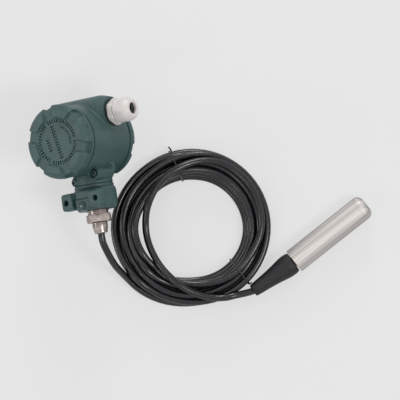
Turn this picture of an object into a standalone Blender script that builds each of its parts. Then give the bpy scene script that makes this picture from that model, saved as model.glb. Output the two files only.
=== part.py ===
"""Submersible level transmitter, lying coiled on a table.

A cast two-chamber housing with screwed covers stands at one end of a cable. The cable leaves the
housing through a stainless gland, lies in a flat coil held by two wire ties, and ends in a rubber
boot on a turned stainless probe. All lengths are in metres. The housing is drawn upright in its own
frame (X to the cable gland, minus Y to the front cover, Z up) and that frame is then laid down.
"""

import math

import bmesh
import bpy
from mathutils import Matrix, Vector

MM = 0.001
GAP = 0.3 * MM

# How the housing lies on the table, and where
HOUSING_YAW = math.radians(-35.0)
HOUSING_LEAN = math.radians(-94.0)
HOUSING_ROLL = math.radians(8.8)
HOUSING_SPOT = Vector((-120.7 * MM, 63.6 * MM, 0.0))

# Drum of the housing, its two chambers and the wall between them
DRUM_RADIUS = 38.5 * MM
DRUM_FRONT = 39.9 * MM
DRUM_REAR = 25.5 * MM
DRUM_BEVEL = 0.6 * MM
CHAMBER_RADIUS = 34.0 * MM
WALL_FRONT = 15.0 * MM
WALL_REAR = 11.0 * MM

# Screwed covers and their seals
COVER_RADIUS = 39.9 * MM
COVER_SKIRT_RADIUS = 39.3 * MM
FRONT_COVER_HEIGHT = 17.0 * MM
FRONT_COVER_SKIRT = 7.0 * MM
REAR_COVER_HEIGHT = 12.0 * MM
REAR_COVER_SKIRT = 4.0 * MM
COVER_DISC_RADIUS = 26.2 * MM
COVER_DISC_SUNK = 1.6 * MM
COVER_SHOULDER = 4.2 * MM
COVER_WALL = 4.0 * MM
SPIGOT_LENGTH = 11.0 * MM
GRIP_LOBES = 6
GRIP_PHASE = math.radians(-16.0)
VALLEY_WIDTH = 11.0 * MM
VALLEY_RIM_DEPTH = 1.0 * MM
COVER_RING_SECTION = 1.3 * MM

# Conduit crossbar over the drum
CROSSBAR_HEIGHT = 24.0 * MM
CROSSBAR_RADIUS = 20.5 * MM
CROSSBAR_FLAT = 26.0 * MM
CROSSBAR_REACH = 38.4 * MM
CROSSBAR_END_RADIUS = 15.1 * MM
CROSSBAR_LIP = 1.0 * MM
CONDUIT_RADIUS = 9.3 * MM

# Neck and the lock boss beside it
NECK_RADIUS = 20.7 * MM
NECK_END = 48.0 * MM
NECK_BORE = 15.0 * MM
NECK_BORE_TOP = 36.0 * MM
WIREWAY_RADIUS = 8.0 * MM
BOSS_RADIUS = 7.4 * MM
BOSS_SIDE = 17.8 * MM
BOSS_DROP = 37.7 * MM
BOSS_FRONT = 23.5 * MM
BOSS_REAR = 6.0 * MM
BOSS_RIB = Vector((5.0 * MM, 5.0 * MM, 12.0 * MM))
BOSS_RIB_SIDE = 24.5 * MM
BOSS_POCKET_RADIUS = 4.6 * MM
BOSS_POCKET_DEPTH = 3.5 * MM
LOCK_SCREW_RADIUS = 1.9 * MM
LOCK_SCREW_HEAD = 3.5 * MM
LOCK_SCREW_LENGTH = 12.0 * MM
SET_SCREW_RADIUS = 2.0 * MM
SET_SCREW_DROP = 43.5 * MM
SET_SCREW_ANGLE = math.radians(-120.0)
SET_SCREW_SUNK = 0.4 * MM

# Base casting below the neck, with its bracket ears
BASE_RADIUS = 22.6 * MM
BASE_END_RADIUS = 20.3 * MM
BASE_BOTTOM = 75.0 * MM
BASE_SHOULDER = 7.5 * MM
BASE_SPIGOT_RADIUS = NECK_BORE - GAP
BASE_RING_SECTION = 1.1 * MM
BASE_RING_RADIUS = 17.3 * MM
EAR_WIDTH = 25.7 * MM
EAR_INNER = 11.0 * MM
EAR_FACE = 29.4 * MM
EAR_TOP = 54.4 * MM
EAR_BOTTOM = 73.0 * MM
EAR_RECESS = 2.4 * MM
EAR_STEP = 63.0 * MM
EAR_HOLE_SIDE = 19.25 * MM
EAR_HOLE_DROP = 64.2 * MM
EAR_HOLE_RADIUS = 2.6 * MM
EAR_HOLE_DEPTH = 12.0 * MM
PAD_RADIUS = 9.0 * MM
PAD_DROP = 67.7 * MM
PAD_SUNK = 1.0 * MM
GROUND_DROP = 70.0 * MM
GROUND_HEAD_RADIUS = 4.0 * MM
GROUND_HEAD_HEIGHT = 2.6 * MM
GROUND_WASHER_RADIUS = 4.8 * MM
GROUND_WASHER_HEIGHT = 1.0 * MM
GROUND_SHANK_RADIUS = 2.0 * MM
GROUND_SHANK_LENGTH = 9.0 * MM

# Plastic cable gland on the crossbar, and the plug opposite
GLAND_WASHER_RADIUS = 14.5 * MM
GLAND_WASHER_HEIGHT = 1.7 * MM
GLAND_THREAD_LENGTH = 12.0 * MM
GLAND_HEX_CORNER = 13.9 * MM
GLAND_HEX_HEIGHT = 6.0 * MM
GLAND_NECK_RADIUS = 10.0 * MM
GLAND_NECK_LENGTH = 10.5 * MM
GLAND_BORE = 7.2 * MM
GLAND_SEAL_FLANGE = 4.6 * MM
GLAND_SEAL_SLEEVE = 6.0 * MM
GLAND_SEAL_HOLE = 3.4 * MM
CAP_BASE_RADIUS = 13.25 * MM
CAP_END_RADIUS = 8.2 * MM
CAP_LENGTH = 19.0 * MM
CAP_MOUTH = 6.8 * MM
CAP_LIP = 2.0 * MM
PLUG_HEAD_RADIUS = 12.6 * MM
PLUG_HEAD_HEIGHT = 5.0 * MM
PLUG_SLOT_WIDTH = 2.4 * MM
PLUG_SLOT_DEPTH = 2.0 * MM

# Stainless cable gland under the base
STEEL_THREAD_RADIUS = 9.4 * MM
STEEL_THREAD_LENGTH = 9.0 * MM
COLLAR_RADIUS = 11.75 * MM
COLLAR_HEIGHT = 4.7 * MM
STEEL_HEX_CORNER = 14.5 * MM
STEEL_HEX_HEIGHT = 8.0 * MM
STEEL_NOSE_RADIUS = 5.7 * MM
STEEL_NOSE_LENGTH = 5.0 * MM
STEEL_NUT_RADIUS = 8.3 * MM
STEEL_NUT_LENGTH = 12.0 * MM
STEEL_NUT_TAPER = 3.4 * MM
STEEL_NUT_END_RADIUS = 5.9 * MM
STEEL_SEAL_LENGTH = 3.4 * MM

# Cable, its coil on the table and the two wire ties
CABLE_RADIUS = 3.75 * MM
CABLE_BORE = CABLE_RADIUS + GAP
CABLE_ROOT = 8.0 * MM
COIL_CENTRE = Vector((-8.0 * MM, -29.4 * MM, 0.0))
COIL_OUTER = 84.0 * MM
COIL_INNER = 50.5 * MM
COIL_HEIGHT = 21.0 * MM
COIL_ROUNDING = 6.0 * MM
TIE_RADIUS = 0.8 * MM
TIE_SLOT_DEPTH = 2.3 * MM
TIE_SLOT_WIDTH = 2.6 * MM
TIE_SKEW = math.radians(9.5)
TIE_CORNER = 4.5 * MM
UPPER_TIE_ANGLE = math.radians(104.4)
LOWER_TIE_ANGLE = math.radians(-42.9)

# Boot and probe
BOOT_LENGTH = 53.4 * MM
BOOT_SMALL_RADIUS = 6.85 * MM
BOOT_LARGE_RADIUS = 12.3 * MM
BOOT_YAW = math.radians(35.8)
BOOT_SEAT = 0.8 * MM
BOOT_SOCKET_CLEARANCE = 0.5 * MM
TAIL_ROOT = 14.0 * MM
PROBE_START = Vector((100.8 * MM, -65.7 * MM, 0.0))
PROBE_YAW = math.radians(38.3)
PROBE_RADIUS = 13.5 * MM
PROBE_WALL = 1.5 * MM
TUBE_LENGTH = 89.0 * MM
NOSE_LENGTH = 9.4 * MM
NOSE_ROUNDING = 6.0 * MM
NOSE_SPIGOT_LENGTH = 6.0 * MM
INLET_RADIUS = 2.5 * MM
BUSH_LENGTH = 14.0 * MM
BUSH_STEM_RADIUS = 6.0 * MM
BUSH_STEM_LENGTH = 5.0 * MM
CELL_RADIUS = 9.5 * MM
CELL_HEIGHT = 7.0 * MM
CELL_RING_SECTION = 0.8 * MM

# What the two chambers hold
BOARD_RADIUS = 29.0 * MM
BOARD_THICKNESS = 1.6 * MM
PILLAR_RADIUS = 3.2 * MM
PILLAR_HEIGHT = 5.0 * MM
PILLAR_SIDE = 23.0 * MM
BOARD_SCREW_HEAD = 2.7 * MM
BOARD_SCREW_HEAD_HEIGHT = 1.8 * MM
BOARD_SCREW_SHANK = 1.3 * MM
BOARD_SCREW_LENGTH = 5.0 * MM
MODULE_SIZE = Vector((26.0 * MM, 7.0 * MM, 18.0 * MM))
TRIMMER_RADIUS = 3.2 * MM
TRIMMER_HEIGHT = 4.5 * MM
TRIMMER_SIDE = 9.0 * MM
TRIMMER_LIFT = 17.0 * MM
BLOCK_SIZE = Vector((34.0 * MM, 11.0 * MM, 15.0 * MM))
TERMINALS = 3
TERMINAL_PITCH = 11.0 * MM
TERMINAL_HEAD = 3.0 * MM
TERMINAL_HEAD_HEIGHT = 2.2 * MM
TERMINAL_SHANK = 1.5 * MM
TERMINAL_SHANK_LENGTH = 5.0 * MM
INNER_GROUND_SIDE = -19.0 * MM
INNER_GROUND_DROP = 17.0 * MM
INNER_GROUND_HEAD = 3.6 * MM
INNER_GROUND_HEIGHT = 2.4 * MM
INNER_GROUND_SHANK = 1.6 * MM
INNER_GROUND_DEPTH = 2.6 * MM

# Route of the cable between gland and coil, and between coil and boot, chosen by eye
LEAD_ROUTE = [
    (-103.8 * MM, -44.9 * MM, 57.0 * MM),
    (-97.9 * MM, -57.8 * MM, 50.0 * MM),
    (-91.0 * MM, -69.6 * MM, 39.0 * MM),
    (-83.5 * MM, -78.1 * MM, 27.0 * MM),
    (-74.4 * MM, -87.7 * MM, 14.0 * MM),
]
TAIL_ROUTE = [
    (-21.4 * MM, -86.1 * MM, 25.2 * MM),
    (-7.5 * MM, -96.0 * MM, 25.2 * MM),
    (11.8 * MM, -104.9 * MM, 25.2 * MM),
    (24.6 * MM, -106.8 * MM, 23.7 * MM),
    (36.4 * MM, -105.9 * MM, 18.8 * MM),
    (47.1 * MM, -102.5 * MM, 15.2 * MM),
]
ROUTE_SPACING = 9.0 * MM

FINE = 40
ROUND = 28
SMALL = 16

# Directions that a piece's own Z axis can take in its parent's frame
UP = Matrix.Identity(4)
DOWN = Matrix.Rotation(math.pi, 4, "X")
FRONT = Matrix.Rotation(math.pi / 2, 4, "X")
REAR = Matrix.Rotation(-math.pi / 2, 4, "X")
RIGHT = Matrix.Rotation(math.pi / 2, 4, "Y")
LEFT = Matrix.Rotation(-math.pi / 2, 4, "Y")


def clear_scene():
    """Remove every object, so that the script can run again."""
    for old in list(bpy.data.objects):
        bpy.data.objects.remove(old, do_unlink=True)


def collection(name):
    """Return a new collection linked to the scene."""
    group = bpy.data.collections.new(name)
    bpy.context.scene.collection.children.link(group)
    return group


clear_scene()
PARTS = collection("level_transmitter")
CUTTERS = collection("cutters")


def material(name, colour, roughness, metallic=0.0):
    """Return a Principled material with one colour."""
    made = bpy.data.materials.new(name)
    made.use_nodes = True
    shader = made.node_tree.nodes["Principled BSDF"]
    shader.inputs["Base Color"].default_value = (*colour, 1.0)
    shader.inputs["Roughness"].default_value = roughness
    shader.inputs["Metallic"].default_value = metallic
    return made


GREEN_PAINT = material("green_paint", (0.065, 0.115, 0.108), 0.55)
WHITE_PLASTIC = material("white_plastic", (0.75, 0.76, 0.76), 0.45)
BLACK_RUBBER = material("black_rubber", (0.02, 0.02, 0.022), 0.6)
CABLE_JACKET = material("cable_jacket", (0.015, 0.015, 0.017), 0.4)
STAINLESS = material("stainless", (0.62, 0.58, 0.52), 0.28, 1.0)
ZINC = material("zinc_plate", (0.6, 0.6, 0.62), 0.35, 1.0)
BOARD_GREEN = material("board_green", (0.02, 0.12, 0.05), 0.5)
DARK_PLASTIC = material("dark_plastic", (0.03, 0.03, 0.035), 0.5)


def empty(name, matrix, parent=None):
    """Return an empty that places the pieces under it."""
    holder = bpy.data.objects.new(name, None)
    PARTS.objects.link(holder)
    holder.parent = parent
    holder.matrix_local = matrix
    return holder


def add(name, mesh, finish, parent, place, turn=UP):
    """Put a mesh into the part, or among the cutters when it has no finish."""
    piece = bpy.data.objects.new(name, mesh)
    piece.parent = parent
    piece.matrix_local = Matrix.Translation(place) @ turn
    if finish is None:
        CUTTERS.objects.link(piece)
        piece.hide_render = True
        piece.display_type = "WIRE"
    else:
        PARTS.objects.link(piece)
        mesh.materials.append(finish)
    return piece


def turned(name, outline, finish, parent, place, turn=UP, steps=ROUND, closed=False):
    """Turn an outline of (radius, height) points about the piece's own Z axis.

    The outline runs down its outer side. An open one starts and ends on the axis, and a closed one
    makes a ring.
    """
    mesh = bpy.data.meshes.new(name)
    last = len(outline) - 1
    edges = [(i, i + 1) for i in range(last)]
    if closed:
        edges.append((last, 0))
    mesh.from_pydata([(radius, 0.0, height) for radius, height in outline], edges, [])
    piece = add(name, mesh, finish, parent, place, turn)
    screw = piece.modifiers.new("turn", "SCREW")
    screw.steps = steps
    screw.render_steps = steps
    screw.use_merge_vertices = True
    screw.merge_threshold = 1e-6
    screw.use_smooth_shade = True
    return piece


def rod(name, radius, low, high, finish, parent, place, turn=UP, sides=SMALL):
    """Make a cylinder or a prism between two heights on the piece's own Z axis."""
    form = bmesh.new()
    middle = Matrix.Translation((0.0, 0.0, (low + high) / 2))
    bmesh.ops.create_cone(
        form, cap_ends=True, segments=sides, radius1=radius, radius2=radius, depth=high - low, matrix=middle
    )
    mesh = bpy.data.meshes.new(name)
    form.to_mesh(mesh)
    form.free()
    return add(name, mesh, finish, parent, place, turn)


def box(name, size, finish, parent, place, turn=UP):
    """Make a box about its own middle."""
    form = bmesh.new()
    bmesh.ops.create_cube(form, size=1.0, matrix=Matrix.Diagonal((*size, 1.0)))
    mesh = bpy.data.meshes.new(name)
    form.to_mesh(mesh)
    form.free()
    return add(name, mesh, finish, parent, place, turn)


def combine(piece, tool, operation):
    """Cut a tool away from a piece, or join it on."""
    boolean = piece.modifiers.new(tool.name, "BOOLEAN")
    boolean.operation = operation
    boolean.solver = "EXACT"
    boolean.object = tool


def cut(piece, *tools):
    """Cut tools away from a piece."""
    for tool in tools:
        combine(piece, tool, "DIFFERENCE")


def join(piece, *tools):
    """Join tools on to a piece."""
    for tool in tools:
        combine(piece, tool, "UNION")


def bevel(piece, width, segments=1):
    """Break the sharp edges of a piece."""
    edge = piece.modifiers.new("bevel", "BEVEL")
    edge.width = width
    edge.segments = segments
    edge.limit_method = "ANGLE"
    edge.angle_limit = math.radians(50)


def ring_outline(radius, section, height=0.0, points=8):
    """Return the round section of an O-ring, running down its outer side."""
    angles = [math.pi / 2 - 2 * math.pi * i / points for i in range(points)]
    return [(radius + section * math.cos(a), height + section * math.sin(a)) for a in angles]


def smooth_route(points, spacing=ROUTE_SPACING):
    """Return points at an even spacing on a smooth curve through the given ones."""
    knots = [Vector(point) for point in points]
    knots = [2 * knots[0] - knots[1], *knots, 2 * knots[-1] - knots[-2]]
    route = []
    for before, start, end, after in zip(knots, knots[1:], knots[2:], knots[3:]):
        steps = max(1, round((end - start).length / spacing))
        for step in range(steps):
            t = step / steps
            slope_in = (end - before) / 2
            slope_out = (after - start) / 2
            route.append(
                start * (2 * t**3 - 3 * t**2 + 1)
                + slope_in * (t**3 - 2 * t**2 + t)
                + end * (3 * t**2 - 2 * t**3)
                + slope_out * (t**3 - t**2)
            )
    route.append(knots[-2])
    return route


def tube(name, route, radius, finish, parent, cyclic=False, sides=2):
    """Make a round tube along a route."""
    curve = bpy.data.curves.new(name, "CURVE")
    curve.dimensions = "3D"
    curve.bevel_depth = radius
    curve.bevel_resolution = sides
    curve.use_fill_caps = not cyclic
    spline = curve.splines.new("POLY")
    spline.points.add(len(route) - 1)
    for point, spot in zip(spline.points, route):
        point.co = (*spot, 1.0)
    spline.use_cyclic_u = cyclic
    piece = bpy.data.objects.new(name, curve)
    curve.materials.append(finish)
    PARTS.objects.link(piece)
    piece.parent = parent
    return piece


def cover_outline(height, skirt):
    """Return the outer half outline of a cover, from its middle to its seam."""
    disc = height - COVER_DISC_SUNK
    return [
        (0.0, disc),
        (COVER_DISC_RADIUS, disc),
        (COVER_DISC_RADIUS + COVER_DISC_SUNK * 0.7, height),
        (COVER_RADIUS - COVER_SHOULDER * 0.9, height - COVER_SHOULDER * 0.1),
        (COVER_RADIUS - COVER_SHOULDER * 0.3, height - COVER_SHOULDER * 0.4),
        (COVER_RADIUS, height - COVER_SHOULDER),
        (COVER_RADIUS, skirt),
        (COVER_SKIRT_RADIUS, skirt - (COVER_RADIUS - COVER_SKIRT_RADIUS)),
        (COVER_SKIRT_RADIUS, 0.0),
    ]


def housing_turn():
    """Return the turn that lays the upright housing down as it lies on the table."""
    yaw = Matrix.Rotation(HOUSING_YAW, 4, "Z")
    lean = Matrix.Rotation(HOUSING_LEAN, 4, "X")
    roll = Matrix.Rotation(HOUSING_ROLL, 4, "Z")
    return roll @ lean @ yaw


def housing_height():
    """Return how high the neck axis lies when the rear cover touches the table."""
    axis = housing_turn() @ Vector((0.0, 1.0, 0.0))
    sideways = math.sqrt(1.0 - axis.z**2)
    seam = DRUM_REAR + GAP
    outline = cover_outline(REAR_COVER_HEIGHT, REAR_COVER_SKIRT)
    return max(radius * sideways - (seam + height) * axis.z for radius, height in outline)


def table_frames():
    """Return the frames of the table, the housing, the boot and the probe."""
    table = empty("table", Matrix.Identity(4))
    spot = HOUSING_SPOT + Vector((0.0, 0.0, housing_height()))
    housing = empty("housing_frame", Matrix.Translation(spot) @ housing_turn(), table)
    start = PROBE_START + Vector((0.0, 0.0, PROBE_RADIUS))
    probe = empty("probe_frame", Matrix.Translation(start) @ along(PROBE_YAW), table)
    seat = start - Vector((math.cos(PROBE_YAW), math.sin(PROBE_YAW), 0.0)) * BOOT_SEAT
    boot = empty("boot_frame", Matrix.Translation(seat) @ along(BOOT_YAW), table)
    bpy.context.view_layer.update()
    return table, housing, boot, probe


def along(yaw):
    """Return the turn that lays a Z axis flat on the table at a yaw."""
    return Matrix.Rotation(yaw, 4, "Z") @ RIGHT


def housing_casting(frame):
    """Make the drum with its crossbar, neck, chambers and threaded ways."""
    body = turned(
        "housing_body",
        [
            (0.0, DRUM_FRONT),
            (DRUM_RADIUS - DRUM_BEVEL, DRUM_FRONT),
            (DRUM_RADIUS, DRUM_FRONT - DRUM_BEVEL),
            (DRUM_RADIUS, DRUM_BEVEL - DRUM_REAR),
            (DRUM_RADIUS - DRUM_BEVEL, -DRUM_REAR),
            (0.0, -DRUM_REAR),
        ],
        GREEN_PAINT,
        frame,
        (0, 0, 0),
        FRONT,
        FINE,
    )
    flare = CROSSBAR_RADIUS - CROSSBAR_END_RADIUS
    half = [
        (0.0, CROSSBAR_REACH),
        (CROSSBAR_END_RADIUS, CROSSBAR_REACH),
        (CROSSBAR_END_RADIUS + flare * 0.35, CROSSBAR_REACH - CROSSBAR_LIP),
        (CROSSBAR_RADIUS - flare * 0.2, (CROSSBAR_FLAT + CROSSBAR_REACH) / 2 - CROSSBAR_LIP),
        (CROSSBAR_RADIUS, CROSSBAR_FLAT),
    ]
    crossbar = turned(
        "crossbar_form",
        half + [(radius, -height) for radius, height in reversed(half)],
        None,
        frame,
        (0, 0, CROSSBAR_HEIGHT),
        RIGHT,
        ROUND,
    )
    neck = rod("neck_form", NECK_RADIUS, 0.0, NECK_END, None, frame, (0, 0, 0), DOWN, ROUND)
    boss_place = (BOSS_SIDE, 0, -BOSS_DROP)
    boss = rod("boss_form", BOSS_RADIUS, -BOSS_REAR, BOSS_FRONT, None, frame, boss_place, FRONT, 20)
    rib_place = (BOSS_RIB_SIDE, BOSS_REAR - BOSS_RIB.y / 2, BOSS_RIB.z / 2 - BOSS_DROP)
    rib = box("boss_rib", BOSS_RIB, None, frame, rib_place)
    join(body, crossbar, neck, boss, rib)
    cut(body, *chamber_cutters(frame), *way_cutters(frame))
    for side, name in ((-1, "left"), (1, "right")):
        place = (side * PILLAR_SIDE, 0, 0)
        start = WALL_FRONT - 1.0 * MM
        end = WALL_FRONT + PILLAR_HEIGHT
        pillar = rod(f"pillar_form_{name}", PILLAR_RADIUS, start, end, None, frame, place, FRONT)
        join(body, pillar)
        hole = BOARD_SCREW_SHANK + GAP
        start = end - BOARD_SCREW_LENGTH
        drill = rod(f"pillar_hole_{name}", hole, start, end + 1.0 * MM, None, frame, place, FRONT, 10)
        cut(body, drill)
    return body


def chamber_cutters(frame):
    """Return the two stepped bores that the covers close."""
    seat_radius = CHAMBER_RADIUS + 2 * COVER_RING_SECTION + GAP
    seat_depth = 2 * COVER_RING_SECTION + GAP
    cutters = []
    for name, end, wall, turn in (
        ("front", DRUM_FRONT, WALL_FRONT, FRONT),
        ("rear", DRUM_REAR, -WALL_REAR, REAR),
    ):
        outline = [
            (0.0, end + 5.0 * MM),
            (seat_radius, end + 5.0 * MM),
            (seat_radius, end - seat_depth),
            (CHAMBER_RADIUS, end - seat_depth),
            (CHAMBER_RADIUS, wall),
            (0.0, wall),
        ]
        cutters.append(turned(f"{name}_chamber", outline, None, frame, (0, 0, 0), turn, FINE))
    return cutters


def way_cutters(frame):
    """Return the conduit bore, the neck bore and the screw holes of the casting."""
    past = 1.0 * MM
    reach = CROSSBAR_REACH + past
    lift = (0, 0, CROSSBAR_HEIGHT)
    conduit = rod("conduit_way", CONDUIT_RADIUS, -reach, reach, None, frame, lift, RIGHT, 24)
    outline = [
        (0.0, NECK_END + past),
        (NECK_BORE, NECK_END + past),
        (NECK_BORE, NECK_BORE_TOP),
        (WIREWAY_RADIUS, NECK_BORE_TOP),
        (WIREWAY_RADIUS, CHAMBER_RADIUS - 6.0 * MM),
        (0.0, CHAMBER_RADIUS - 6.0 * MM),
    ]
    neck = turned("neck_way", outline, None, frame, (0, 0, 0), DOWN, ROUND)
    hole = LOCK_SCREW_RADIUS + GAP
    floor = BOSS_FRONT - BOSS_POCKET_DEPTH
    outline = [
        (0.0, BOSS_FRONT + past),
        (BOSS_POCKET_RADIUS, BOSS_FRONT + past),
        (BOSS_POCKET_RADIUS, floor),
        (hole, floor),
        (hole, floor - LOCK_SCREW_LENGTH - GAP),
        (0.0, floor - LOCK_SCREW_LENGTH - GAP),
    ]
    pocket = turned("boss_pocket", outline, None, frame, (BOSS_SIDE, 0, -BOSS_DROP), FRONT, SMALL)
    radial = Matrix.Rotation(SET_SCREW_ANGLE, 4, "Z") @ RIGHT
    drop = (0, 0, -SET_SCREW_DROP)
    hole = SET_SCREW_RADIUS + GAP
    screw = rod("set_screw_way", hole, NECK_BORE - past, NECK_RADIUS + past, None, frame, drop, radial, 12)
    ground = rod(
        "inner_ground_hole",
        INNER_GROUND_SHANK + GAP,
        -WALL_REAR - INNER_GROUND_DEPTH - GAP,
        -WALL_REAR + past,
        None,
        frame,
        (INNER_GROUND_SIDE, 0, -INNER_GROUND_DROP),
        REAR,
        10,
    )
    seats = []
    start = CROSSBAR_REACH + GAP / 2
    for name, radius, turn in (
        ("gland", GLAND_WASHER_RADIUS + GAP, RIGHT),
        ("plug", PLUG_HEAD_RADIUS + GAP, LEFT),
    ):
        seats.append(rod(f"{name}_spot_face", radius, start, start + CAP_LENGTH, None, frame, lift, turn, 24))
    return [conduit, neck, pocket, screw, ground, *seats]


def cover(name, seam, height, skirt, turn, frame):
    """Make one screwed cover with its raised grip lobes and its seal."""
    spigot = CHAMBER_RADIUS - GAP
    inner = spigot - COVER_WALL
    ceiling = height - COVER_DISC_SUNK - COVER_WALL
    outline = cover_outline(height, skirt) + [
        (spigot, 0.0),
        (spigot, -SPIGOT_LENGTH),
        (inner, -SPIGOT_LENGTH),
        (inner, ceiling - COVER_WALL / 2),
        (inner - COVER_WALL / 2, ceiling),
        (0.0, ceiling),
    ]
    place = turn @ Vector((0.0, 0.0, seam + GAP))
    shell = turned(f"{name}_cover", outline, GREEN_PAINT, frame, place, turn, FINE)
    for lobe in range(GRIP_LOBES):
        around = Matrix.Rotation(GRIP_PHASE + 2 * math.pi * lobe / GRIP_LOBES, 4, "Z")
        cut(shell, *valley(f"{name}_valley_{lobe}", height, skirt, shell, around))
    radius = CHAMBER_RADIUS + COVER_RING_SECTION + GAP / 2
    outline = ring_outline(radius, COVER_RING_SECTION)
    place = turn @ Vector((0.0, 0.0, seam - COVER_RING_SECTION))
    turned(f"{name}_oring", outline, BLACK_RUBBER, frame, place, turn, ROUND, closed=True)
    return shell


def valley(name, height, skirt, shell, around):
    """Return the two cutters of one valley between grip lobes, across the face and down the rim."""
    length = COVER_RADIUS
    place = around @ Vector((COVER_DISC_RADIUS + length / 2, 0.0, height))
    face = box(f"{name}_face", (length, VALLEY_WIDTH, 2 * COVER_DISC_SUNK), None, shell, place, around)
    place = around @ Vector((COVER_RADIUS - VALLEY_RIM_DEPTH + length / 2, 0.0, skirt + height))
    rim = box(f"{name}_rim", (length, VALLEY_WIDTH, 2 * height), None, shell, place, around)
    return face, rim


def neck_screws(frame):
    """Make the neck's set screw and the lock screw in the boss."""
    radial = Matrix.Rotation(SET_SCREW_ANGLE, 4, "Z") @ RIGHT
    drop = (0, 0, -SET_SCREW_DROP)
    end = NECK_RADIUS - SET_SCREW_SUNK
    screw = rod("neck_set_screw", SET_SCREW_RADIUS, NECK_BORE, end, ZINC, frame, drop, radial, 12)
    low = end - 1.5 * MM
    socket = rod("set_screw_socket", SET_SCREW_RADIUS / 2, low, end + 1.0 * MM, None, frame, drop, radial, 6)
    cut(screw, socket)
    floor = BOSS_FRONT - BOSS_POCKET_DEPTH
    head = floor + GAP
    top = head + 2.4 * MM
    outline = [
        (0.0, top),
        (LOCK_SCREW_HEAD, top),
        (LOCK_SCREW_HEAD, head),
        (LOCK_SCREW_RADIUS, head),
        (LOCK_SCREW_RADIUS, head - LOCK_SCREW_LENGTH),
        (0.0, head - LOCK_SCREW_LENGTH),
    ]
    place = (BOSS_SIDE, 0, -BOSS_DROP)
    lock = turned("boss_lock_screw", outline, ZINC, frame, place, FRONT, SMALL)
    slot_place = (BOSS_SIDE, -top, -BOSS_DROP)
    slot = box("lock_screw_slot", (0.8 * MM, 2.0 * MM, 4 * LOCK_SCREW_HEAD), None, frame, slot_place)
    cut(lock, slot)


def base_casting(frame):
    """Make the base under the neck, with its spigot, bracket ears and bores."""
    top = NECK_END + GAP
    base = turned(
        "bracket_base",
        [
            (0.0, -NECK_BORE_TOP - GAP),
            (BASE_SPIGOT_RADIUS, -NECK_BORE_TOP - GAP),
            (BASE_SPIGOT_RADIUS, -top),
            (NECK_RADIUS, -top),
            (BASE_RADIUS, -top - BASE_SHOULDER),
            (BASE_RADIUS, -BASE_BOTTOM + BASE_SHOULDER),
            (BASE_END_RADIUS, -BASE_BOTTOM),
            (0.0, -BASE_BOTTOM),
        ],
        GREEN_PAINT,
        frame,
        (0, 0, 0),
        UP,
        ROUND,
    )
    depth = EAR_FACE / 2
    height = EAR_BOTTOM - EAR_TOP
    middle = (EAR_TOP + EAR_BOTTOM) / 2
    ears = box("ear_form", (2 * EAR_WIDTH, depth, height), None, frame, (0, -EAR_FACE + depth / 2, -middle))
    bevel(ears, 1.5 * MM, 2)
    pad = rod("pad_form", PAD_RADIUS, depth, EAR_FACE - PAD_SUNK, None, frame, (0, 0, -PAD_DROP), FRONT, 20)
    join(base, ears, pad)
    cut(base, *base_cutters(frame, top))
    return base


def base_cutters(frame, top):
    """Return the recess between the ears and the bores of the base."""
    past = 1.0 * MM
    upper = EAR_STEP - EAR_TOP + past
    place = (0, -EAR_FACE, -EAR_STEP + upper / 2)
    recess = box("ear_recess", (2 * EAR_INNER, 2 * EAR_RECESS, upper), None, frame, place)
    lower = EAR_BOTTOM - EAR_STEP + past
    place = (0, -EAR_FACE, -EAR_STEP - lower / 2 + past / 2)
    lower_recess = box("pad_recess", (2 * EAR_INNER, 2 * PAD_SUNK, lower + past), None, frame, place)
    wires = rod("base_wireway", CABLE_BORE, -BASE_BOTTOM - past, 0.0, None, frame, (0, 0, 0), UP, SMALL)
    bore = STEEL_THREAD_RADIUS + GAP
    deep = -BASE_BOTTOM + STEEL_THREAD_LENGTH + GAP
    thread = rod("steel_thread_bore", bore, -BASE_BOTTOM - past, deep, None, frame, (0, 0, 0), UP, 24)
    half = BASE_RING_SECTION + GAP
    low = -top - 2 * BASE_RING_SECTION - GAP
    groove = turned(
        "base_ring_groove",
        [
            (BASE_RING_RADIUS + half, -top + past),
            (BASE_RING_RADIUS + half, low),
            (BASE_RING_RADIUS - half, low),
            (BASE_RING_RADIUS - half, -top + past),
        ],
        None,
        frame,
        (0, 0, 0),
        UP,
        ROUND,
        closed=True,
    )
    holes = []
    for side, name in ((-1, "left"), (1, "right")):
        place = (side * EAR_HOLE_SIDE, 0, -EAR_HOLE_DROP)
        start = EAR_FACE - EAR_HOLE_DEPTH
        hole = rod(f"ear_hole_{name}", EAR_HOLE_RADIUS, start, EAR_FACE + past, None, frame, place, FRONT)
        holes.append(hole)
    face = EAR_FACE - PAD_SUNK
    shank = GROUND_SHANK_RADIUS + GAP
    deep = face - GROUND_SHANK_LENGTH - GAP
    ground = rod("ground_hole", shank, deep, face + past, None, frame, (0, 0, -GROUND_DROP), FRONT, 12)
    return [recess, lower_recess, wires, thread, groove, *holes, ground]


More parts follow.
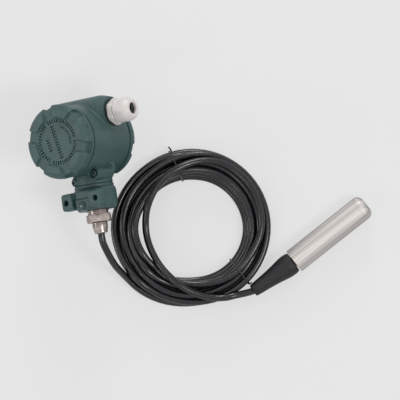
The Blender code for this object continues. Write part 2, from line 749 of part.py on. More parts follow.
def base_fittings(frame):
    """Make the seal of the neck joint and the outer ground screw with its washer."""
    top = NECK_END + GAP
    outline = ring_outline(BASE_RING_RADIUS, BASE_RING_SECTION, -top - BASE_RING_SECTION)
    turned("base_oring", outline, BLACK_RUBBER, frame, (0, 0, 0), UP, ROUND, closed=True)
    face = EAR_FACE - PAD_SUNK + GAP
    place = (0, 0, -GROUND_DROP)
    washer_top = face + GROUND_WASHER_HEIGHT
    washer = rod("ground_washer", GROUND_WASHER_RADIUS, face, washer_top, ZINC, frame, place, FRONT, 20)
    hole = GROUND_SHANK_RADIUS + GAP
    bore = rod("washer_hole", hole, face - 1.0 * MM, washer_top + 1.0 * MM, None, frame, place, FRONT, 12)
    cut(washer, bore)
    seat = washer_top + GAP
    top = seat + GROUND_HEAD_HEIGHT
    outline = [
        (0.0, top),
        (GROUND_HEAD_RADIUS * 0.7, top),
        (GROUND_HEAD_RADIUS, top - GROUND_HEAD_HEIGHT / 2),
        (GROUND_HEAD_RADIUS, seat),
        (GROUND_SHANK_RADIUS, seat),
        (GROUND_SHANK_RADIUS, seat - GROUND_SHANK_LENGTH),
        (0.0, seat - GROUND_SHANK_LENGTH),
    ]
    screw = turned("ground_screw", outline, ZINC, frame, place, FRONT, SMALL)
    size = (4 * GROUND_HEAD_RADIUS, 2.0 * MM, 1.0 * MM)
    slot = box("ground_slot", size, None, frame, (0, -top, -GROUND_DROP))
    cut(screw, slot)


def plastic_gland(frame):
    """Make the white cable gland, from its washer out to its domed cap nut."""
    place = Vector((CROSSBAR_REACH + GAP, 0, CROSSBAR_HEIGHT))
    thread = CONDUIT_RADIUS - GAP
    ring = [
        (GLAND_WASHER_RADIUS, GLAND_WASHER_HEIGHT),
        (GLAND_WASHER_RADIUS, 0.0),
        (CONDUIT_RADIUS, 0.0),
        (CONDUIT_RADIUS, GLAND_WASHER_HEIGHT),
    ]
    turned("gland_washer", ring, BLACK_RUBBER, frame, place, RIGHT, ROUND, closed=True)
    hex_low = GLAND_WASHER_HEIGHT + GAP
    hex_high = hex_low + GLAND_HEX_HEIGHT
    body = rod("gland_body", GLAND_HEX_CORNER, hex_low, hex_high, WHITE_PLASTIC, frame, place, RIGHT, 6)
    stem = turned(
        "gland_stem",
        [
            (0.0, hex_high + GLAND_NECK_LENGTH),
            (GLAND_NECK_RADIUS, hex_high + GLAND_NECK_LENGTH),
            (GLAND_NECK_RADIUS, hex_low + GLAND_HEX_HEIGHT / 2),
            (thread, hex_low + GLAND_HEX_HEIGHT / 2),
            (thread, -GLAND_THREAD_LENGTH),
            (0.0, -GLAND_THREAD_LENGTH),
        ],
        None,
        frame,
        place,
        RIGHT,
        24,
    )
    join(body, stem)
    past = 1.0 * MM
    neck_end = hex_high + GLAND_NECK_LENGTH
    start = -GLAND_THREAD_LENGTH - past
    bore = rod("gland_bore", GLAND_BORE, start, neck_end + past, None, frame, place, RIGHT, 20)
    cut(body, bore)
    gland_seal(frame, place, neck_end)
    cap_nut(frame, place, hex_high + 2 * GAP, neck_end)


def gland_seal(frame, place, neck_end):
    """Make the flanged rubber seal at the mouth of the gland's neck."""
    flange = GLAND_NECK_RADIUS - GAP
    sleeve = GLAND_BORE - GAP
    low = neck_end + GAP
    outline = [
        (flange, low + GLAND_SEAL_FLANGE),
        (flange, low),
        (sleeve, low),
        (sleeve, low - GLAND_SEAL_SLEEVE),
        (GLAND_SEAL_HOLE, low - GLAND_SEAL_SLEEVE),
        (GLAND_SEAL_HOLE, low + GLAND_SEAL_FLANGE),
    ]
    turned("gland_seal", outline, BLACK_RUBBER, frame, place, RIGHT, 24, closed=True)


def cap_nut(frame, place, low, neck_end):
    """Make the domed nut that presses the seal."""
    high = low + CAP_LENGTH
    bore = GLAND_NECK_RADIUS + GAP
    seal_top = neck_end + GAP + GLAND_SEAL_FLANGE + GAP
    drop = CAP_BASE_RADIUS - CAP_END_RADIUS
    outline = [
        (CAP_END_RADIUS, high),
        (CAP_END_RADIUS + drop * 0.45, high - drop * 0.25),
        (CAP_END_RADIUS + drop * 0.82, high - drop * 0.85),
        (CAP_BASE_RADIUS, high - drop * 1.9),
        (CAP_BASE_RADIUS, low),
        (bore, low),
        (bore, seal_top),
        (CAP_MOUTH, high - CAP_LIP),
        (CAP_MOUTH, high),
    ]
    turned("gland_cap_nut", outline, WHITE_PLASTIC, frame, place, RIGHT, 24, closed=True)


def conduit_plug(frame):
    """Make the blanking plug and washer in the far end of the crossbar."""
    place = (-CROSSBAR_REACH - GAP, 0, CROSSBAR_HEIGHT)
    thread = CONDUIT_RADIUS - GAP
    ring = [
        (PLUG_HEAD_RADIUS, GLAND_WASHER_HEIGHT),
        (PLUG_HEAD_RADIUS, 0.0),
        (CONDUIT_RADIUS, 0.0),
        (CONDUIT_RADIUS, GLAND_WASHER_HEIGHT),
    ]
    turned("plug_washer", ring, BLACK_RUBBER, frame, place, LEFT, 24, closed=True)
    low = GLAND_WASHER_HEIGHT + GAP
    high = low + PLUG_HEAD_HEIGHT
    outline = [
        (0.0, high),
        (PLUG_HEAD_RADIUS - 1.0 * MM, high),
        (PLUG_HEAD_RADIUS, high - 1.0 * MM),
        (PLUG_HEAD_RADIUS, low),
        (thread, low),
        (thread, -GLAND_THREAD_LENGTH),
        (0.0, -GLAND_THREAD_LENGTH),
    ]
    plug = turned("conduit_plug", outline, GREEN_PAINT, frame, place, LEFT, 24)
    slot_place = (place[0] - high, 0, CROSSBAR_HEIGHT)
    size = (2 * PLUG_SLOT_DEPTH, PLUG_SLOT_WIDTH, 4 * PLUG_HEAD_RADIUS)
    cut(plug, box("plug_slot", size, None, frame, slot_place))


def steel_gland(frame):
    """Make the stainless gland under the base and return how far down its mouth lies."""
    place = (0, 0, 0)
    collar_top = -BASE_BOTTOM - GAP
    collar_low = collar_top - COLLAR_HEIGHT
    bore = STEEL_THREAD_RADIUS + GAP
    ring = [(COLLAR_RADIUS, collar_top), (COLLAR_RADIUS, collar_low), (bore, collar_low), (bore, collar_top)]
    turned("steel_collar", ring, STAINLESS, frame, place, UP, 24, closed=True)
    hex_top = collar_low - GAP
    hex_low = hex_top - STEEL_HEX_HEIGHT
    body = rod("steel_gland_body", STEEL_HEX_CORNER, hex_low, hex_top, STAINLESS, frame, place, UP, 6)
    nose_low = hex_low - STEEL_NOSE_LENGTH
    stem = turned(
        "steel_stem",
        [
            (0.0, -BASE_BOTTOM + STEEL_THREAD_LENGTH),
            (STEEL_THREAD_RADIUS, -BASE_BOTTOM + STEEL_THREAD_LENGTH),
            (STEEL_THREAD_RADIUS, hex_top - STEEL_HEX_HEIGHT / 2),
            (STEEL_NOSE_RADIUS, hex_top - STEEL_HEX_HEIGHT / 2),
            (STEEL_NOSE_RADIUS, nose_low),
            (0.0, nose_low),
        ],
        None,
        frame,
        place,
        UP,
        24,
    )
    join(body, stem)
    past = 1.0 * MM
    cut(body, rod("steel_bore", CABLE_BORE, nose_low - past, -BASE_BOTTOM / 2, None, frame, place, UP, SMALL))
    nut_top = hex_low - GAP
    nut_low = nut_top - STEEL_NUT_LENGTH
    inner = STEEL_NOSE_RADIUS + GAP
    seal_top = nose_low - GAP
    seal_low = seal_top - STEEL_SEAL_LENGTH
    seal = [
        (STEEL_NOSE_RADIUS, seal_top),
        (STEEL_NOSE_RADIUS, seal_low),
        (CABLE_BORE, seal_low),
        (CABLE_BORE, seal_top),
    ]
    turned("steel_gland_seal", seal, BLACK_RUBBER, frame, place, UP, SMALL, closed=True)
    nut = [
        (STEEL_NUT_RADIUS - 0.8 * MM, nut_top),
        (STEEL_NUT_RADIUS, nut_top - 0.8 * MM),
        (STEEL_NUT_RADIUS, nut_low + STEEL_NUT_TAPER),
        (STEEL_NUT_END_RADIUS, nut_low),
        (CABLE_BORE, nut_low),
        (CABLE_BORE, seal_low - GAP),
        (inner, seal_low - GAP),
        (inner, nut_top),
    ]
    turned("steel_gland_nut", nut, STAINLESS, frame, place, UP, 24, closed=True)
    return nut_low


def electronics(frame):
    """Make the circuit board in the front chamber with what it carries."""
    back = WALL_FRONT + PILLAR_HEIGHT + GAP
    face = back + BOARD_THICKNESS
    board = rod("electronics_board", BOARD_RADIUS, back, face, BOARD_GREEN, frame, (0, 0, 0), FRONT, ROUND)
    for side, name in ((-1, "left"), (1, "right")):
        place = (side * PILLAR_SIDE, 0, 0)
        hole = BOARD_SCREW_SHANK + GAP
        past = 1.0 * MM
        cut(board, rod(f"board_hole_{name}", hole, back - past, face + past, None, frame, place, FRONT, 10))
        head = face + GAP
        top = head + BOARD_SCREW_HEAD_HEIGHT
        outline = [
            (0.0, top),
            (BOARD_SCREW_HEAD, top),
            (BOARD_SCREW_HEAD, head),
            (BOARD_SCREW_SHANK, head),
            (BOARD_SCREW_SHANK, head - BOARD_SCREW_LENGTH),
            (0.0, head - BOARD_SCREW_LENGTH),
        ]
        turned(f"board_screw_{name}", outline, ZINC, frame, place, FRONT, 10)
    depth = MODULE_SIZE.y
    place = (0, -face - GAP - depth / 2, 0)
    box("electronics_module", MODULE_SIZE, DARK_PLASTIC, frame, place)
    for side, name in ((-1, "zero"), (1, "span")):
        place = (side * TRIMMER_SIDE, 0, TRIMMER_LIFT)
        low = face + GAP
        high = low + TRIMMER_HEIGHT
        rod(f"{name}_trimmer", TRIMMER_RADIUS, low, high, DARK_PLASTIC, frame, place, FRONT, 12)


def terminals(frame):
    """Make the terminal block, its screws and the inner ground screw in the rear chamber."""
    wall = -WALL_REAR + GAP
    depth = BLOCK_SIZE.y
    block = box("terminal_block", BLOCK_SIZE, DARK_PLASTIC, frame, (0, wall + depth / 2, 0))
    face = wall + depth
    for number in range(TERMINALS):
        side = (number - (TERMINALS - 1) / 2) * TERMINAL_PITCH
        place = (side, 0, 0)
        outline = [
            (0.0, face + TERMINAL_HEAD_HEIGHT + GAP),
            (TERMINAL_HEAD, face + TERMINAL_HEAD_HEIGHT + GAP),
            (TERMINAL_HEAD, face + GAP),
            (TERMINAL_SHANK, face + GAP),
            (TERMINAL_SHANK, face + GAP - TERMINAL_SHANK_LENGTH),
            (0.0, face + GAP - TERMINAL_SHANK_LENGTH),
        ]
        turned(f"terminal_screw_{number + 1}", outline, ZINC, frame, place, REAR, 12)
        deep = face - TERMINAL_SHANK_LENGTH - GAP
        hole = TERMINAL_SHANK + GAP
        drill = rod(f"terminal_hole_{number + 1}", hole, deep, face + 1.0 * MM, None, frame, place, REAR, 10)
        cut(block, drill)
    low = wall - INNER_GROUND_DEPTH
    outline = [
        (0.0, wall + INNER_GROUND_HEIGHT),
        (INNER_GROUND_HEAD, wall + INNER_GROUND_HEIGHT),
        (INNER_GROUND_HEAD, wall),
        (INNER_GROUND_SHANK, wall),
        (INNER_GROUND_SHANK, low),
        (0.0, low),
    ]
    place = (INNER_GROUND_SIDE, 0, -INNER_GROUND_DROP)
    turned("inner_ground_screw", outline, ZINC, frame, place, REAR, 12)


def coil(table):
    """Make the plain ring that the coiled cable fills, with room for the ties under it."""
    corner = [math.radians(90 * i / 3) for i in range(4)]
    top = COIL_HEIGHT - COIL_ROUNDING
    outer = COIL_OUTER - COIL_ROUNDING
    inner = COIL_INNER + COIL_ROUNDING
    outline = [(outer + COIL_ROUNDING * math.sin(a), top + COIL_ROUNDING * math.cos(a)) for a in corner]
    outline += [(outer + COIL_ROUNDING * math.cos(a), COIL_ROUNDING * (1 - math.sin(a))) for a in corner]
    outline += [(inner - COIL_ROUNDING * math.sin(a), COIL_ROUNDING * (1 - math.cos(a))) for a in corner]
    outline += [(inner - COIL_ROUNDING * math.cos(a), top + COIL_ROUNDING * math.sin(a)) for a in corner]
    ring = turned("cable_coil", outline, CABLE_JACKET, table, COIL_CENTRE, UP, FINE, closed=True)
    middle = (COIL_OUTER + COIL_INNER) / 2
    for name, angle, skew in (
        ("upper", UPPER_TIE_ANGLE, TIE_SKEW),
        ("lower", LOWER_TIE_ANGLE, -TIE_SKEW),
    ):
        spot = COIL_CENTRE + Vector((math.cos(angle), math.sin(angle), 0.0)) * middle
        turn = Matrix.Translation(spot) @ Matrix.Rotation(angle + skew, 4, "Z")
        holder = empty(f"{name}_tie_frame", turn, table)
        tie(name, holder)
        size = (COIL_OUTER - COIL_INNER + 6 * COIL_ROUNDING, TIE_SLOT_WIDTH, 2 * TIE_SLOT_DEPTH)
        cut(ring, box(f"{name}_tie_slot", size, None, holder, (0, 0, 0)))


def tie(name, holder):
    """Make one wire tie, a rounded loop around the coil's section."""
    half = (COIL_OUTER - COIL_INNER) / 2 / math.cos(TIE_SKEW) + 2 * GAP + TIE_RADIUS
    low = TIE_RADIUS + GAP / 2
    high = COIL_HEIGHT + GAP + TIE_RADIUS
    middle = (low + high) / 2
    reach = half - TIE_CORNER
    rise = (high - low) / 2 - TIE_CORNER
    route = []
    for side, level, start in ((1, 1, 0), (-1, 1, 90), (-1, -1, 180), (1, -1, 270)):
        for step in range(4):
            angle = math.radians(start + 30 * step)
            x = side * reach + TIE_CORNER * math.cos(angle)
            z = middle + level * rise + TIE_CORNER * math.sin(angle)
            route.append((x, 0.0, z))
    tube(f"{name}_tie", route, TIE_RADIUS, DARK_PLASTIC, holder, cyclic=True, sides=1)


def cable(table, housing, boot, mouth):
    """Make the two plain stretches of cable that lie outside the coil."""
    lay = housing.matrix_local
    root = lay @ Vector((0.0, 0.0, mouth + CABLE_ROOT))
    leave = lay @ Vector((0.0, 0.0, mouth))
    tube("cable_lead", smooth_route([root, leave, *LEAD_ROUTE]), CABLE_RADIUS, CABLE_JACKET, table)
    lay = boot.matrix_local
    enter = lay @ Vector((0.0, 0.0, -BOOT_LENGTH))
    end = lay @ Vector((0.0, 0.0, -BOOT_LENGTH + TAIL_ROOT))
    tube("cable_tail", smooth_route([*TAIL_ROUTE, enter, end]), CABLE_RADIUS, CABLE_JACKET, table)


def rubber_boot(frame):
    """Make the tapered strain relief between the cable and the probe."""
    socket = BUSH_STEM_RADIUS + BOOT_SOCKET_CLEARANCE
    deep = -BUSH_STEM_LENGTH - BOOT_SOCKET_CLEARANCE
    bore = CABLE_BORE + GAP
    swell = BOOT_LENGTH * 0.42
    outline = [
        (BOOT_LARGE_RADIUS - 1.6 * MM, 0.0),
        (BOOT_LARGE_RADIUS - 0.4 * MM, -2.2 * MM),
        (BOOT_LARGE_RADIUS, -7.0 * MM),
        (BOOT_LARGE_RADIUS - 0.8 * MM, -0.65 * swell),
        (BOOT_LARGE_RADIUS - 2.3 * MM, -swell),
        (BOOT_SMALL_RADIUS + 0.8 * MM, -BOOT_LENGTH * 0.86),
        (BOOT_SMALL_RADIUS, -BOOT_LENGTH + 1.5 * MM),
        (BOOT_SMALL_RADIUS - 1.0 * MM, -BOOT_LENGTH),
        (bore, -BOOT_LENGTH),
        (bore, deep),
        (socket, deep),
        (socket, 0.0),
    ]
    turned("cable_boot", outline, BLACK_RUBBER, frame, (0, 0, 0), UP, 28, closed=True)


def probe(frame):
    """Make the stainless probe with its bush, pressure cell and nose."""
    place = (0, 0, 0)
    inner = PROBE_RADIUS - PROBE_WALL
    tube_ring = [
        (PROBE_RADIUS, TUBE_LENGTH),
        (PROBE_RADIUS, 0.6 * MM),
        (PROBE_RADIUS - 0.6 * MM, 0.0),
        (inner, 0.0),
        (inner, TUBE_LENGTH),
    ]
    turned("probe_tube", tube_ring, STAINLESS, frame, place, UP, ROUND, closed=True)
    fit = inner - GAP
    seam = TUBE_LENGTH + GAP
    tip = seam + NOSE_LENGTH
    corner = [math.radians(90 * i / 4) for i in range(5)]
    middle = PROBE_RADIUS - NOSE_ROUNDING
    nose = [(INLET_RADIUS, tip)]
    nose += [(middle + NOSE_ROUNDING * math.sin(a), tip - NOSE_ROUNDING * (1 - math.cos(a))) for a in corner]
    nose += [
        (PROBE_RADIUS, seam),
        (fit, seam),
        (fit, seam - NOSE_SPIGOT_LENGTH),
        (INLET_RADIUS, seam - NOSE_SPIGOT_LENGTH),
    ]
    turned("probe_nose_cap", nose, STAINLESS, frame, place, UP, ROUND, closed=True)
    stem = BUSH_STEM_RADIUS
    bush = [
        (fit, BUSH_LENGTH),
        (fit, GAP),
        (stem, GAP),
        (stem, -BUSH_STEM_LENGTH),
        (CABLE_BORE, -BUSH_STEM_LENGTH),
        (CABLE_BORE, BUSH_LENGTH),
    ]
    turned("probe_bush", bush, STAINLESS, frame, place, UP, 24, closed=True)
    cell_top = seam - NOSE_SPIGOT_LENGTH - GAP
    cell_low = cell_top - CELL_HEIGHT
    groove = fit - 2 * CELL_RING_SECTION - GAP
    ring_height = (cell_top + cell_low) / 2
    half = CELL_RING_SECTION + GAP
    cell = [
        (0.0, cell_top),
        (fit, cell_top),
        (fit, ring_height + half),
        (groove, ring_height + half),
        (groove, ring_height - half),
        (fit, ring_height - half),
        (fit, cell_low),
        (CELL_RADIUS, cell_low),
        (CELL_RADIUS, cell_low - CELL_HEIGHT / 2),
        (0.0, cell_low - CELL_HEIGHT / 2),
    ]
    turned("sensor_cell", cell, STAINLESS, frame, place, UP, 24)
    radius = groove + GAP + CELL_RING_SECTION
    outline = ring_outline(radius, CELL_RING_SECTION, ring_height, 8)
    turned("sensor_oring", outline, BLACK_RUBBER, frame, place, UP, 24, closed=True)


def stand_on_origin(table, cord_names):
    """Move the whole part so that the origin lies under the middle of all but the cord."""
    bpy.context.view_layer.update()
    viewed = bpy.context.evaluated_depsgraph_get()
    spots = []
    for piece in PARTS.objects:
        if piece.type == "EMPTY" or piece.name in cord_names:
            continue
        seen = piece.evaluated_get(viewed)
        mesh = seen.to_mesh()
        spots += [seen.matrix_world @ vertex.co for vertex in mesh.vertices]
        seen.to_mesh_clear()
    low = [min(spot[axis] for spot in spots) for axis in range(3)]
    high = [max(spot[axis] for spot in spots) for axis in range(3)]
    table.location = (-(low[0] + high[0]) / 2, -(low[1] + high[1]) / 2, -low[2])


def main():
    """Build the whole transmitter."""
    table, housing, boot, nose = table_frames()
    housing_casting(housing)
    cover("front", DRUM_FRONT, FRONT_COVER_HEIGHT, FRONT_COVER_SKIRT, FRONT, housing)
    cover("rear", DRUM_REAR, REAR_COVER_HEIGHT, REAR_COVER_SKIRT, REAR, housing)
    neck_screws(housing)
    base_casting(housing)
    base_fittings(housing)
    plastic_gland(housing)
    conduit_plug(housing)
    mouth = steel_gland(housing)
    electronics(housing)
    terminals(housing)
    coil(table)
    cable(table, housing, boot, mouth)
    rubber_boot(boot)
    probe(nose)
    cord_names = ("cable_lead", "cable_coil", "cable_tail", "upper_tie", "lower_tie", "cable_boot")
    stand_on_origin(table, cord_names)


main()
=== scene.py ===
"""Looks of a submersible level transmitter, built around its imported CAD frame.

A field housing with two screwed lids lies on a table with its coiled cable and its
rod-shaped stainless probe. Sizes are in millimetres, and frames and the stage in metres.
"""

import logging
import math
from dataclasses import dataclass, field
from enum import Enum
from typing import Sequence

import bmesh
import bpy
import numpy as np
from mathutils import Matrix, Vector


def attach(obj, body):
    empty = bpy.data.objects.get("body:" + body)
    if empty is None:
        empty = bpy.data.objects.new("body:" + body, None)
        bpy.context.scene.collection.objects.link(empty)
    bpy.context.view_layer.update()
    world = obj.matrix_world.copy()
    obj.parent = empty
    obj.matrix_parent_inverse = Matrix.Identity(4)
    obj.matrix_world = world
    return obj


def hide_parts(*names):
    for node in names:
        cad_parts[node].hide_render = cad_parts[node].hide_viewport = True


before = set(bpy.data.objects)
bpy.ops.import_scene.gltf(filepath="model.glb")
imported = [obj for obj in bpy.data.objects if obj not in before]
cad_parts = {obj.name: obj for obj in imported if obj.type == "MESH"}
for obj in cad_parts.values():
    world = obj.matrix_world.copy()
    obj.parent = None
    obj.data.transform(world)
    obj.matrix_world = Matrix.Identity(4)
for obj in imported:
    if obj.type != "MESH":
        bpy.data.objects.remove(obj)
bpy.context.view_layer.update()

Point = tuple[float, float]
Form = bmesh.types.BMesh
MM = 0.001
GAP = 0.3
PIXEL = 1.07 * MM
PHOTO_SIDE = 400
TABLE = Vector((0.041, -17.916, 0.0)) * MM

LOG = logging.getLogger("transmitter")

HOUSING = Matrix((
    (0.803388238, 0.575566292, -0.152613223, -0.12065874),
    (0.164858371, 0.031280611, 0.985821128, 0.04568363),
    (0.572179258, -0.817156613, -0.069756448, 0.0517884), (0.0, 0.0, 0.0, 1.0),
))


def lying(x: float, y: float, z: float, cosine: float, sine: float) -> Matrix:
    """Return the frame of a piece that lies flat, its Z axis turned on the table."""
    return Matrix(((0, -sine, cosine, x), (0, cosine, sine, y), (-1, 0, 0, z), (0, 0, 0, 1)))


PROBE = lying(0.100841, -0.083616, 0.0135, 0.784776, 0.619779)
BOOT = lying(0.100213, -0.084112, 0.0135, 0.811064, 0.584958)

UP = Matrix.Identity(4)
DOWN = Matrix.Rotation(math.pi, 4, "X")
FRONT = Matrix.Rotation(math.pi / 2, 4, "X")
REAR = Matrix.Rotation(-math.pi / 2, 4, "X")
RIGHT = Matrix.Rotation(math.pi / 2, 4, "Y")
LEFT = Matrix.Rotation(-math.pi / 2, 4, "Y")


class Body(Enum):
    """The CAD bodies that pieces ride on."""

    MAIN = "transmitter"
    FRONT_SEAL = "front_seal"
    FRONT_LID = "front_closure"
    REAR_SEAL = "rear_seal"
    REAR_LID = "rear_closure"
    GLAND_INSERT = "gland_insert"
    GLAND_NUT = "gland_nut"


class Cut(Enum):
    """The ways in which one closed form changes another."""

    JOIN = "UNION"
    REMOVE = "DIFFERENCE"
    KEEP = "INTERSECT"


def srgb(red: float, green: float, blue: float) -> tuple[float, float, float, float]:
    """Return a linear colour for one that is given as it looks on a screen, from 0 to 255."""
    parts = []
    for value in (red / 255, green / 255, blue / 255):
        parts.append(value / 12.92 if value <= 0.04045 else ((value + 0.055) / 1.055) ** 2.4)
    return (*parts, 1.0)


# ---- shader maths


class Wire:
    """A shader output that takes part in Python arithmetic."""

    def __init__(self, tree: "Tree", link: bpy.types.NodeSocket) -> None:
        """Keep the output and the tree that it belongs to."""
        self.tree = tree
        self.link = link

    def _math(self, operation: str, *values: object) -> "Wire":
        """Add a Math node on some values."""
        return self.tree.node("ShaderNodeMath", {"operation": operation}, dict(enumerate(values)))

    def __add__(self, other: object) -> "Wire":
        """Add."""
        return self._math("ADD", self, other)

    def __radd__(self, other: object) -> "Wire":
        """Add to a number."""
        return self._math("ADD", other, self)

    def __mul__(self, other: object) -> "Wire":
        """Multiply."""
        return self._math("MULTIPLY", self, other)

    def clamp(self, low: float, high: float) -> "Wire":
        """Hold the value between two numbers, and stretch that span to 0 to 1."""
        inputs = {"Value": self, "From Min": low, "From Max": high}
        return self.tree.node("ShaderNodeMapRange", {"clamp": True}, inputs)


class Tree:
    """A node tree with one method that adds nodes."""

    def __init__(self, holder: bpy.types.ID) -> None:
        """Open the node tree of a material or a world."""
        holder.use_nodes = True
        self.nodes = holder.node_tree.nodes
        self.links = holder.node_tree.links

    def node(self, kind: str, settings: dict, inputs: dict, output: object = 0) -> Wire:
        """Add one node.

        Args:
            kind: The node's type.
            settings: Its properties, set before its inputs.
            inputs: Values or wires by input name or number.
            output: The output that is returned.

        Returns:
            The output as a wire.
        """
        made = self.nodes.new(kind)
        for key, value in settings.items():
            setattr(made, key, value)
        for key, value in inputs.items():
            self.join(value, made.inputs[key])
        return Wire(self, made.outputs[output])

    def join(self, value: object, socket: bpy.types.NodeSocket) -> None:
        """Link a wire to a socket, or set the socket's own value."""
        if isinstance(value, Wire):
            self.links.new(value.link, socket)
        else:
            socket.default_value = value

    def seen(self) -> Wire:
        """Return 1 where the eye looks, also by way of gloss or glass, and 0 for plain light."""
        ways = self.nodes.new("ShaderNodeLightPath").outputs
        kinds = ("Is Camera Ray", "Is Glossy Ray", "Is Transmission Ray")
        straight, gloss, glass = (Wire(self, ways[kind]) for kind in kinds)
        return straight + gloss + glass


class Finish(Tree):
    """A material's tree round its one shader."""

    def __init__(self, name: str, slot: str, roughness: float, metallic: float = 0.0) -> None:
        """Start a material.

        Args:
            name: The material's name.
            slot: The record's slot that it belongs to.
            roughness: The roughness that it starts with.
            metallic: 1 for bare metal.
        """
        self.slot = slot
        self.material = bpy.data.materials.new(name)
        super().__init__(self.material)
        self.shader = self.nodes["Principled BSDF"]
        self.set(Roughness=roughness, Metallic=metallic)

    def set(self, **values: object) -> None:
        """Set or link inputs of the shader, with _ for a space in their names."""
        for key, value in values.items():
            self.join(value, self.shader.inputs[key.replace("_", " ")])

    def set_plain(self, values: dict) -> None:
        """Set constants on the shader's own sockets."""
        for key, value in values.items():
            self.shader.inputs[key].default_value = value

    def place(self, turn: Matrix = UP, scale: Sequence[float] = (1, 1, 1)) -> Wire:
        """Return object coordinates as a piece's own maker sees them.

        Args:
            turn: The piece's frame in the row frame.
            scale: The stretch along the maker's axes.

        Returns:
            The coordinates.
        """
        inputs = {"Vector": self.node("ShaderNodeTexCoord", {}, {}, "Object")}
        back = turn.inverted()
        inputs.update(Location=back.to_translation(), Rotation=back.to_euler("XYZ"))
        own = self.node("ShaderNodeMapping", {}, inputs)
        return self.node("ShaderNodeMapping", {}, {"Vector": own, "Scale": scale})

    def noise(self, vector: Wire, scale: float, detail: float = 3.0) -> Wire:
        """Add a noise pattern."""
        inputs = {"Vector": vector, "Scale": scale, "Detail": detail}
        return self.node("ShaderNodeTexNoise", {}, inputs, "Fac")

    def mix(self, factor: object, first: object, second: object) -> Wire:
        """Mix two colours."""
        inputs = {0: factor, 6: first, 7: second}
        return self.node("ShaderNodeMix", {"data_type": "RGBA"}, inputs, 2)

    def bump(self, height: Wire, strength: float, distance: float) -> None:
        """Feed a height to the shader's normal."""
        inputs = {"Height": height, "Strength": strength, "Distance": distance}
        self.set(Normal=self.node("ShaderNodeBump", {}, inputs, "Normal"))


# ---- finishes


@dataclass(frozen=True)
class Coat:
    """A finish of two colours, driven by noise patterns.

    Shade, gloss and relief each hold one weight for every pattern.
    """

    name: str
    slot: str
    light: tuple
    dark: tuple
    roughness: float
    patterns: tuple
    shade: tuple
    span: tuple
    gloss: tuple
    relief: tuple
    strength: float
    distance: float
    turn: Matrix = UP
    metallic: float = 0.0
    extra: dict = field(default_factory=dict)

    def make(self) -> Finish:
        """Return the finish, with its material."""
        tree = Finish(self.name, self.slot, self.roughness, self.metallic)
        noises = [
            tree.noise(tree.place(self.turn, stretch), scale, detail)
            for stretch, scale, detail in self.patterns
        ]

        def blend(weights: Sequence[float]) -> Wire:
            """Return the patterns added up by their weights."""
            parts = [noise * weight for noise, weight in zip(noises, weights) if weight]
            return sum(parts[1:], parts[0])

        shade = blend(self.shade).clamp(*self.span)
        tree.set(Base_Color=tree.mix(shade, srgb(*self.dark), srgb(*self.light)))
        tree.set(Roughness=self.roughness - sum(self.gloss) / 2 + blend(self.gloss))
        tree.set_plain(self.extra)
        tree.bump(blend(self.relief), self.strength, self.distance)
        return tree


@dataclass(frozen=True)
class Laminate:
    """Green board laminate with a faint weave."""

    name: str = "board_laminate"
    slot: str = "board_green"
    light: tuple = (46, 110, 68)
    dark: tuple = (30, 84, 50)
    roughness: float = 0.4

    def make(self) -> Finish:
        """Return the finish, with its material."""
        tree = Finish(self.name, self.slot, self.roughness)
        inputs = {"Vector": tree.place(HOUSING), "Scale": 500.0, "Distortion": 0.4}
        weave, cross = (
            tree.node("ShaderNodeTexWave", {"bands_direction": axis}, inputs, "Fac") for axis in "XZ"
        )
        tree.set(Base_Color=tree.mix((weave + cross) * 0.5, srgb(*self.dark), srgb(*self.light)))
        tree.bump(weave + cross, 0.1, 0.0001)
        return tree


def steel(name: str, tones: tuple, roughness: float, stretches: tuple, turn: Matrix) -> Finish:
    """Return bare stainless steel with fine lines of the tool or the brush.

    Args:
        name: The material's name.
        tones: Its light and its dark colour.
        roughness: Its middle roughness.
        stretches: How its lines and its broad bands are stretched.
        turn: The frame of the pieces that wear it.

    Returns:
        The finish.
    """
    patterns = ((stretches[0], 1, 4), (stretches[1], 1, 1), ((60, 60, 25), 1, 3))
    return Coat(
        name, "stainless", *tones, roughness, patterns, (0.45, 0.55, 0), (0.41, 0.6), (0.1, 0, 0.1),
        (1, 0, 0), 0.12, 0.0001, turn, 1.0,
    ).make()


